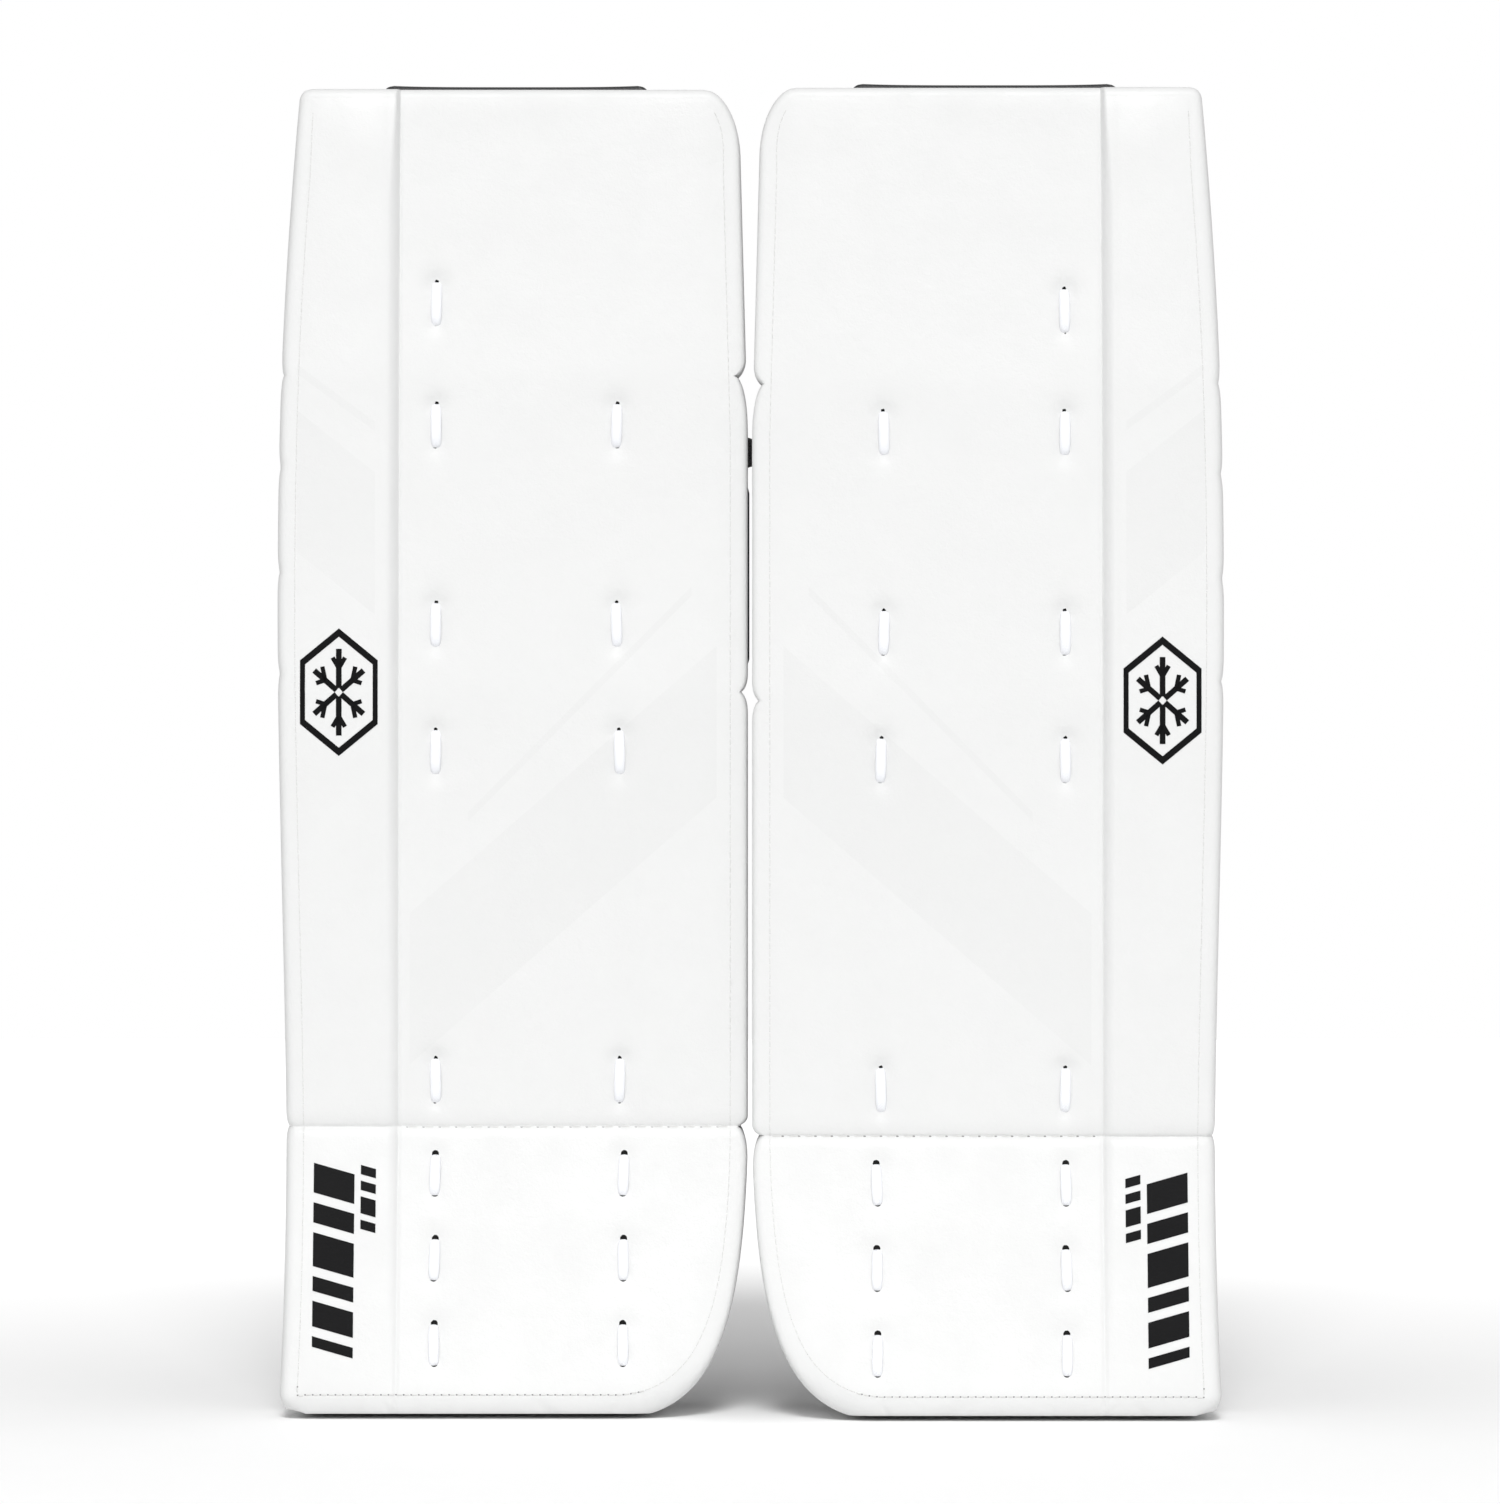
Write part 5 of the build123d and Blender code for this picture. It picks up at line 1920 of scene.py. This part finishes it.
def back_strap(pad, name, section, root, end, depth, height, materials, tip_width=None, buckle=None,
               body=None, tab_body=None, tab_across=None):
    """A strap straight across the back, from its sewn root to its free end, with its hardware."""
    webbing, hook, thread_material, plastic = materials
    width, thick = STRAP["width"], STRAP["thick"]
    middle = depth + thick / 2
    places = np.linspace(root, end, 48)
    bow = 1.1 * np.sin(np.pi * np.linspace(0, 1, 48)) ** 2
    line = np.stack([places, np.full(48, middle) + bow, np.full(48, height)], axis=1)
    length = abs(root - end)
    tip = ([0.0, length - 18.0, length - 5.0, length], [width, width, width - 5.0, width - 13.0])
    if tip_width is not None:
        tip = ([0.0, length - 18.0, length], [width, width, tip_width])
    to_pad = lambda points: pad.in_section(section, points) if section else points
    made = strip(line, (0.0, 0.0, 1.0), (0.0, 1.0, 0.0), width, thick, tip)
    place_strip(pad, f"{name}_band", body, made, to_pad, webbing, node=name)
    patch_start = end + 20.0
    patch = np.linspace(patch_start, patch_start + 46.0, 14)
    bow_here = np.interp(patch, places[::-1], bow[::-1])
    patch_line = np.stack([patch, middle + bow_here - thick / 2 - 0.5, np.full(14, height)], axis=1)
    made = strip(patch_line, (0.0, 0.0, 1.0), (0.0, -1.0, 0.0), width - 3.0, 1.1)
    place_strip(pad, f"{name}_hook", body, made, to_pad, hook)
    outer = middle + thick / 2
    pieces = [box_stitch((patch_start + 2.0, height - 9.0), (patch_start + 18.0, height + 9.0),
                         outer + 0.45, 1.0)]
    pieces.append(box_stitch((root - 20.0, height - 9.0), (root - 5.0, height + 9.0), outer + 0.2, 1.0))
    count = 0
    points, faces = [], []
    for vertices, quads in pieces:
        points.append(vertices)
        faces += [[int(corner) + count for corner in face] for face in quads]
        count += len(vertices)
    place_strip(pad, f"{name}_stitches", body, (np.concatenate(points), faces, np.concatenate(points)),
                to_pad, thread_material)
    if buckle is not None:
        here = float(np.interp(buckle, places[::-1], bow[::-1]))
        vertices, quads = slider(buckle, middle + here, height)
        made = (vertices, quads, vertices)
        place_strip(pad, f"{name}_slider", body, made, to_pad, plastic)
    if tab_body is not None:
        strap_tab(pad, name, section, tab_across, depth, height, tab_body, materials)


def strap_tab(pad, name, section, across, depth, height, body, materials):
    """The sewn end of a strap on the outer face of its wing, folded round the wing's free edge."""
    webbing, _, thread_material, _ = materials
    face = across + WING / 2 + 1.0
    turn = np.linspace(0.0, 90.0, 8)
    radius = 5.0
    tip = depth - STRAP["thick"] - 0.6
    curve = [(face - radius + radius * math.cos(math.radians(a)),
              tip - radius + radius * math.sin(math.radians(a)), height) for a in turn]
    start = [(face, tip - radius - run, height) for run in np.linspace(38.0, 2.0, 12)]
    line = np.array(start + curve)
    along = np.gradient(line, axis=0)
    along = along / np.linalg.norm(along, axis=1)[:, None]
    facing = np.cross(along, np.array([0.0, 0.0, 1.0]))
    facing = facing * np.where(facing[:, 0:1] + facing[:, 1:2] > 0, 1.0, -1.0)
    made = strip(line, (0.0, 0.0, 1.0), facing, STRAP["width"], 1.6)
    to_pad = lambda points: pad.in_section(section, points)
    place_strip(pad, f"{name}_tab", body, made, to_pad, webbing)
    vertices, quads = box_stitch((tip - radius - 34.0, height - 9.0), (tip - radius - 14.0, height + 9.0),
                                 face + 0.85, 1.0)
    swapped = vertices[:, (1, 0, 2)]
    faces = [[int(corner) for corner in quad] for quad in quads]
    place_strip(pad, f"{name}_tab_stitches", body, (swapped, faces, swapped), to_pad, thread_material)


STRAPS = {
    "calf_strap_upper": dict(section="shin", root=184.0, end=26.0, depth=125.9, height=150.0,
                             buckle=158.0, tab_body="calf_wing_outer", tab_across=179.0),
    "calf_strap_lower": dict(section="shin", root=184.0, end=26.0, depth=125.9, height=62.0,
                             buckle=158.0, tab_body="calf_wing_outer", tab_across=179.0),
    "knee_strap": dict(section="knee", root=188.0, end=0.4, depth=119.9, height=125.4,
                       tip_width=13.4, buckle=160.0, tab_body="knee_wing", tab_across=183.0),
    "boot_strap": dict(section=None, root=176.0, end=44.0, depth=86.5, height=82.0),
}


TOE_TIE = {"length": 44.0, "rows": 20, "width": 20.0, "thick": 2.0, "droop": 2.5}
# How far the knee strap's tip is past its usual place, so that one strap closes the gap
KNEE_STRAP_ENDS = {"right": -1.6, "left": 2.6}


def toe_tie(pad, materials):
    """The short webbing tie behind the toe."""
    low, high = (Vector(corner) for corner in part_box(pad.name("toe_tie")))
    centre = (low + high) / 2
    across = abs(centre.x) / MM
    front = low.y / MM - pad.face + 1.0
    height = centre.z / MM
    places = np.linspace(0.0, TOE_TIE["length"], TOE_TIE["rows"])
    droop = -TOE_TIE["droop"] * (places / TOE_TIE["length"]) ** 2
    line = np.stack([np.full(TOE_TIE["rows"], across), front + places, height + droop], axis=1)
    made = strip(line, (1.0, 0.0, 0.0), (0.0, 0.0, 1.0), TOE_TIE["width"], TOE_TIE["thick"])
    place_strip(pad, "toe_tie_band", "toe_tie", made, lambda points: points, materials[0], node="toe_tie")


def make_straps(pad, materials):
    """One pad's straps, each on its own body, and the toe tie."""
    for name, facts in STRAPS.items():
        if name == "knee_strap":
            facts = {**facts, "end": KNEE_STRAP_ENDS[pad.side]}
        back_strap(pad, name, materials=materials, body=name, **facts)
    toe_tie(pad, materials)


def inside_box(u, z, low, high, bottom, top, corner):
    """Distance inside a rectangle whose upper corners are rounded."""
    centre = np.array([(low + high) / 2, (bottom + top) / 2])
    over_u = np.abs(u - centre[0]) - ((high - low) / 2 - corner)
    over_z = (z - centre[1]) - ((top - bottom) / 2 - corner)
    outside = np.hypot(np.maximum(over_u, 0.0), np.maximum(over_z, 0.0))
    return corner - outside - np.minimum(np.maximum(over_u, over_z), 0.0)


def top_tongue(pad, nylon, binding):
    """The middle of the back panel, whose bound upper edge stands above the front."""
    low, high = TONGUE
    bottom, top = TONGUE_SPAN
    z = graded(bottom, top, 3.0, [(top, TONGUE_CORNER, 0.5)])
    past = np.clip(z - (top - TONGUE_CORNER), 0.0, TONGUE_CORNER)
    inset = TONGUE_CORNER - np.sqrt(TONGUE_CORNER**2 - past**2)
    share = graded(0.0, 1.0, 0.03, [(0.0, 0.05, 0.006), (1.0, 0.05, 0.006)])[None, :]
    u = (low + inset)[:, None] * (1.0 - share) + (high - inset)[:, None] * share
    z = np.repeat(z[:, None], u.shape[1], axis=1)
    away = np.maximum(inside_box(u, z, low, high, bottom - 40.0, top, TONGUE_CORNER), 0.0)
    along = np.clip(away / TONGUE_BINDING, 0.0, 1.0)
    bound = TONGUE_THICK * np.sqrt(np.maximum(0.0, 1.0 - np.abs(2.0 * along - 1.0) ** 2.6))
    inner = 0.6 * TONGUE_THICK * smooth(away / 4.0)
    stand = np.where(along < 0.5, bound, np.maximum(bound, inner))
    z = z + TONGUE_EARS * (np.abs(u - (low + high) / 2) / ((high - low) / 2)) ** 4 * (z > top - 12.0)
    base = pad.back_y(z) + 2.6
    sheets = [np.stack([u, base + side * stand, z], axis=2) for side in (1.0, -1.0)]
    count = u.size
    index = np.arange(count).reshape(u.shape)
    second = index + count
    for edge_rows in ((slice(None), 0), (slice(None), -1), (-1, slice(None))):
        second[edge_rows] = index[edge_rows]
    points = np.concatenate([sheet.reshape(-1, 3) for sheet in sheets])
    faces = np.concatenate([grid_faces(index)[:, ::-1], grid_faces(second)])
    middle = away.reshape(-1)[grid_faces(index)].mean(axis=1)
    kinds = np.tile(np.where(middle < TONGUE_BINDING, 1, 0), 2)
    used, faces = only_used(points, faces)
    piece = make_mesh(pad.name("top_tongue"), pad.world(points[used]), turned(pad, faces),
                      [nylon, binding], rest=points[used], choice=kinds)
    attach(piece, pad.name("thigh"))


def weave(graph, vector, pitch, depth):
    """Over-and-under threads as a height, from two crossed waves."""
    split = graph.node("ShaderNodeSeparateXYZ", Vector=vector)
    total = graph.math("ADD", split.outputs[0], split.outputs[1])
    first = graph.math("SINE", graph.math("MULTIPLY", total, 2 * math.pi / pitch))
    total = graph.math("ADD", split.outputs[1], split.outputs[2])
    second = graph.math("SINE", graph.math("MULTIPLY", total, 2 * math.pi / pitch))
    both = graph.math("MULTIPLY", first, second)
    return both, graph.bump(both, depth)


def black_nylon():
    """Coarse black woven nylon with a dusty sheen."""
    graph = Graph("black_nylon_weave", (0.035, 0.035, 0.037), 0.66, Specular_IOR_Level=0.45,
                  Sheen_Weight=0.35, Sheen_Roughness=0.4)
    vector = graph.object_mm()
    both, normal = weave(graph, vector, 1.9, 0.22)
    broad = graph.bump(graph.noise(vector, 0.06, 3.0), 0.9, normal)
    graph.output("Normal", broad)
    shade = graph.spread(both, 0.0, 1.0, -1.0, 1.0)
    graph.output("Base Color", graph.mix(shade, (0.016, 0.016, 0.017, 1), (0.062, 0.062, 0.066, 1)))
    graph.output("Roughness", graph.spread(graph.noise(vector, 0.1), 0.62, 0.8))
    return graph.material


def black_binding():
    """Ribbed black edging tape."""
    graph = Graph("black_edging_tape", (0.014, 0.014, 0.015), 0.42, Specular_IOR_Level=0.5,
                  Sheen_Weight=0.15, Sheen_Roughness=0.4)
    vector = graph.object_mm()
    ribs = graph.node("ShaderNodeTexWave", {"wave_type": "BANDS", "bands_direction": "DIAGONAL"},
                      Vector=vector, Scale=0.32, Distortion=0.6)
    graph.output("Normal", graph.bump(ribs.outputs["Fac"], 0.10))
    graph.output("Roughness", graph.spread(graph.noise(vector, 0.2), 0.36, 0.52))
    return graph.material


def black_webbing():
    """Woven polyester strap: a herringbone along its length, and firm selvedges."""
    graph = Graph("black_strap_webbing", (0.03, 0.03, 0.032), 0.52, Specular_IOR_Level=0.5,
                  Sheen_Weight=0.3, Sheen_Roughness=0.35)
    vector = graph.attribute("pad_mm")
    split = graph.node("ShaderNodeSeparateXYZ", Vector=vector)
    lean = graph.math("PINGPONG", split.outputs[2], 3.0)
    twill = graph.math("ADD", split.outputs[0], graph.math("MULTIPLY", lean, 1.2))
    wave = graph.math("SINE", graph.math("MULTIPLY", twill, 2 * math.pi / 1.7))
    rows = graph.math("SINE", graph.math("MULTIPLY", split.outputs[2], 2 * math.pi / 1.5))
    height = graph.math("MULTIPLY_ADD", rows, 0.5, wave)
    graph.output("Normal", graph.bump(height, 0.16))
    shade = graph.spread(height, 0.0, 1.0, -1.5, 1.5)
    graph.output("Base Color", graph.mix(shade, (0.014, 0.014, 0.015, 1), (0.062, 0.062, 0.066, 1)))
    return graph.material


def hook_tape():
    """The fuzzy half of a hook-and-loop fastening."""
    graph = Graph("hook_and_loop", (0.02, 0.02, 0.021), 0.95, Specular_IOR_Level=0.1,
                  Sheen_Weight=0.6, Sheen_Roughness=0.6)
    vector = graph.attribute("pad_mm")
    fuzz = graph.noise(vector, 1.6, 3.0, 0.7)
    graph.output("Normal", graph.bump(fuzz, 0.5))
    graph.output("Base Color", graph.mix(fuzz, (0.008, 0.008, 0.009, 1), (0.045, 0.045, 0.047, 1)))
    return graph.material


def black_plastic():
    """Moulded black plastic with a fine spark-eroded texture."""
    graph = Graph("moulded_black_plastic", (0.020, 0.020, 0.021), 0.42, Specular_IOR_Level=0.5)
    vector = graph.object_mm()
    fine = graph.noise(vector, 2.2, 2.0, 0.6)
    graph.output("Normal", graph.bump(fine, 0.05))
    graph.output("Roughness", graph.spread(graph.noise(vector, 0.15, 3.0), 0.34, 0.52))
    return graph.material


def foam():
    """The white foam inside, which shows only if a seam opens."""
    graph = Graph("padding_foam", (0.72, 0.71, 0.67), 0.9, Specular_IOR_Level=0.15)
    vector = graph.object_mm()
    cells = graph.cells(vector, 0.9)
    graph.output("Normal", graph.bump(cells, 0.3))
    graph.output("Base Color", graph.mix(cells, (0.62, 0.61, 0.57, 1), (0.76, 0.75, 0.71, 1)))
    return graph.material


def black_thread():
    """Dark sewing thread with a soft twist."""
    graph = Graph("dark_thread", (0.16, 0.16, 0.165), 0.55, Specular_IOR_Level=0.4)
    twist = graph.noise(graph.object_mm(), 3.0, 1.0)
    graph.output("Normal", graph.bump(twist, 0.08))
    graph.output("Base Color", graph.mix(twist, (0.10, 0.10, 0.103, 1), (0.22, 0.22, 0.225, 1)))
    return graph.material


def dress_nodes(material_of):
    """Gives the CAD nodes that stay their materials."""
    for name, node in frame["nodes"].items():
        for ending, material in material_of.items():
            if name.endswith(ending):
                node.data.materials.clear()
                node.data.materials.append(material)


bpy.context.scene.view_settings.view_transform = "Standard"
make_camera()
make_world()
make_light()
make_floor()

SKIN_LEATHER = printed_leather()
LACE_CORD = lace_cord()
HOLE_SHADE = painted_hole_shade()
NEEDLE_HOLE_SHADE = needle_hole_painted_shade()
THREAD = white_thread()
INK = black_print()
LEATHER = white_leather("flap_leather")
NYLON = black_nylon()
BINDING = black_binding()
WEBBING = black_webbing()
HOOK = hook_tape()
PLASTIC = black_plastic()
DARK_THREAD = black_thread()
FORMS = make_forms()
dress_nodes({"_core": foam(), "_keeper": PLASTIC, "_bridge": PLASTIC})
for pad in PADS:
    rng = np.random.default_rng(SEED)
    make_skins(pad, SKIN_LEATHER)
    seam_stitches(pad, THREAD, NEEDLE_HOLE_SHADE)
    make_laces(pad, LACE_CORD, HOLE_SHADE, rng)
    roll_mark(pad, INK)
    boot_marks(pad, INK)
    make_lining(pad, NYLON, BINDING, DARK_THREAD)
    top_tongue(pad, NYLON, BINDING)
    make_padding(pad, FORMS, (LEATHER, NYLON, BINDING, DARK_THREAD))
    make_straps(pad, (WEBBING, HOOK, DARK_THREAD, PLASTIC))
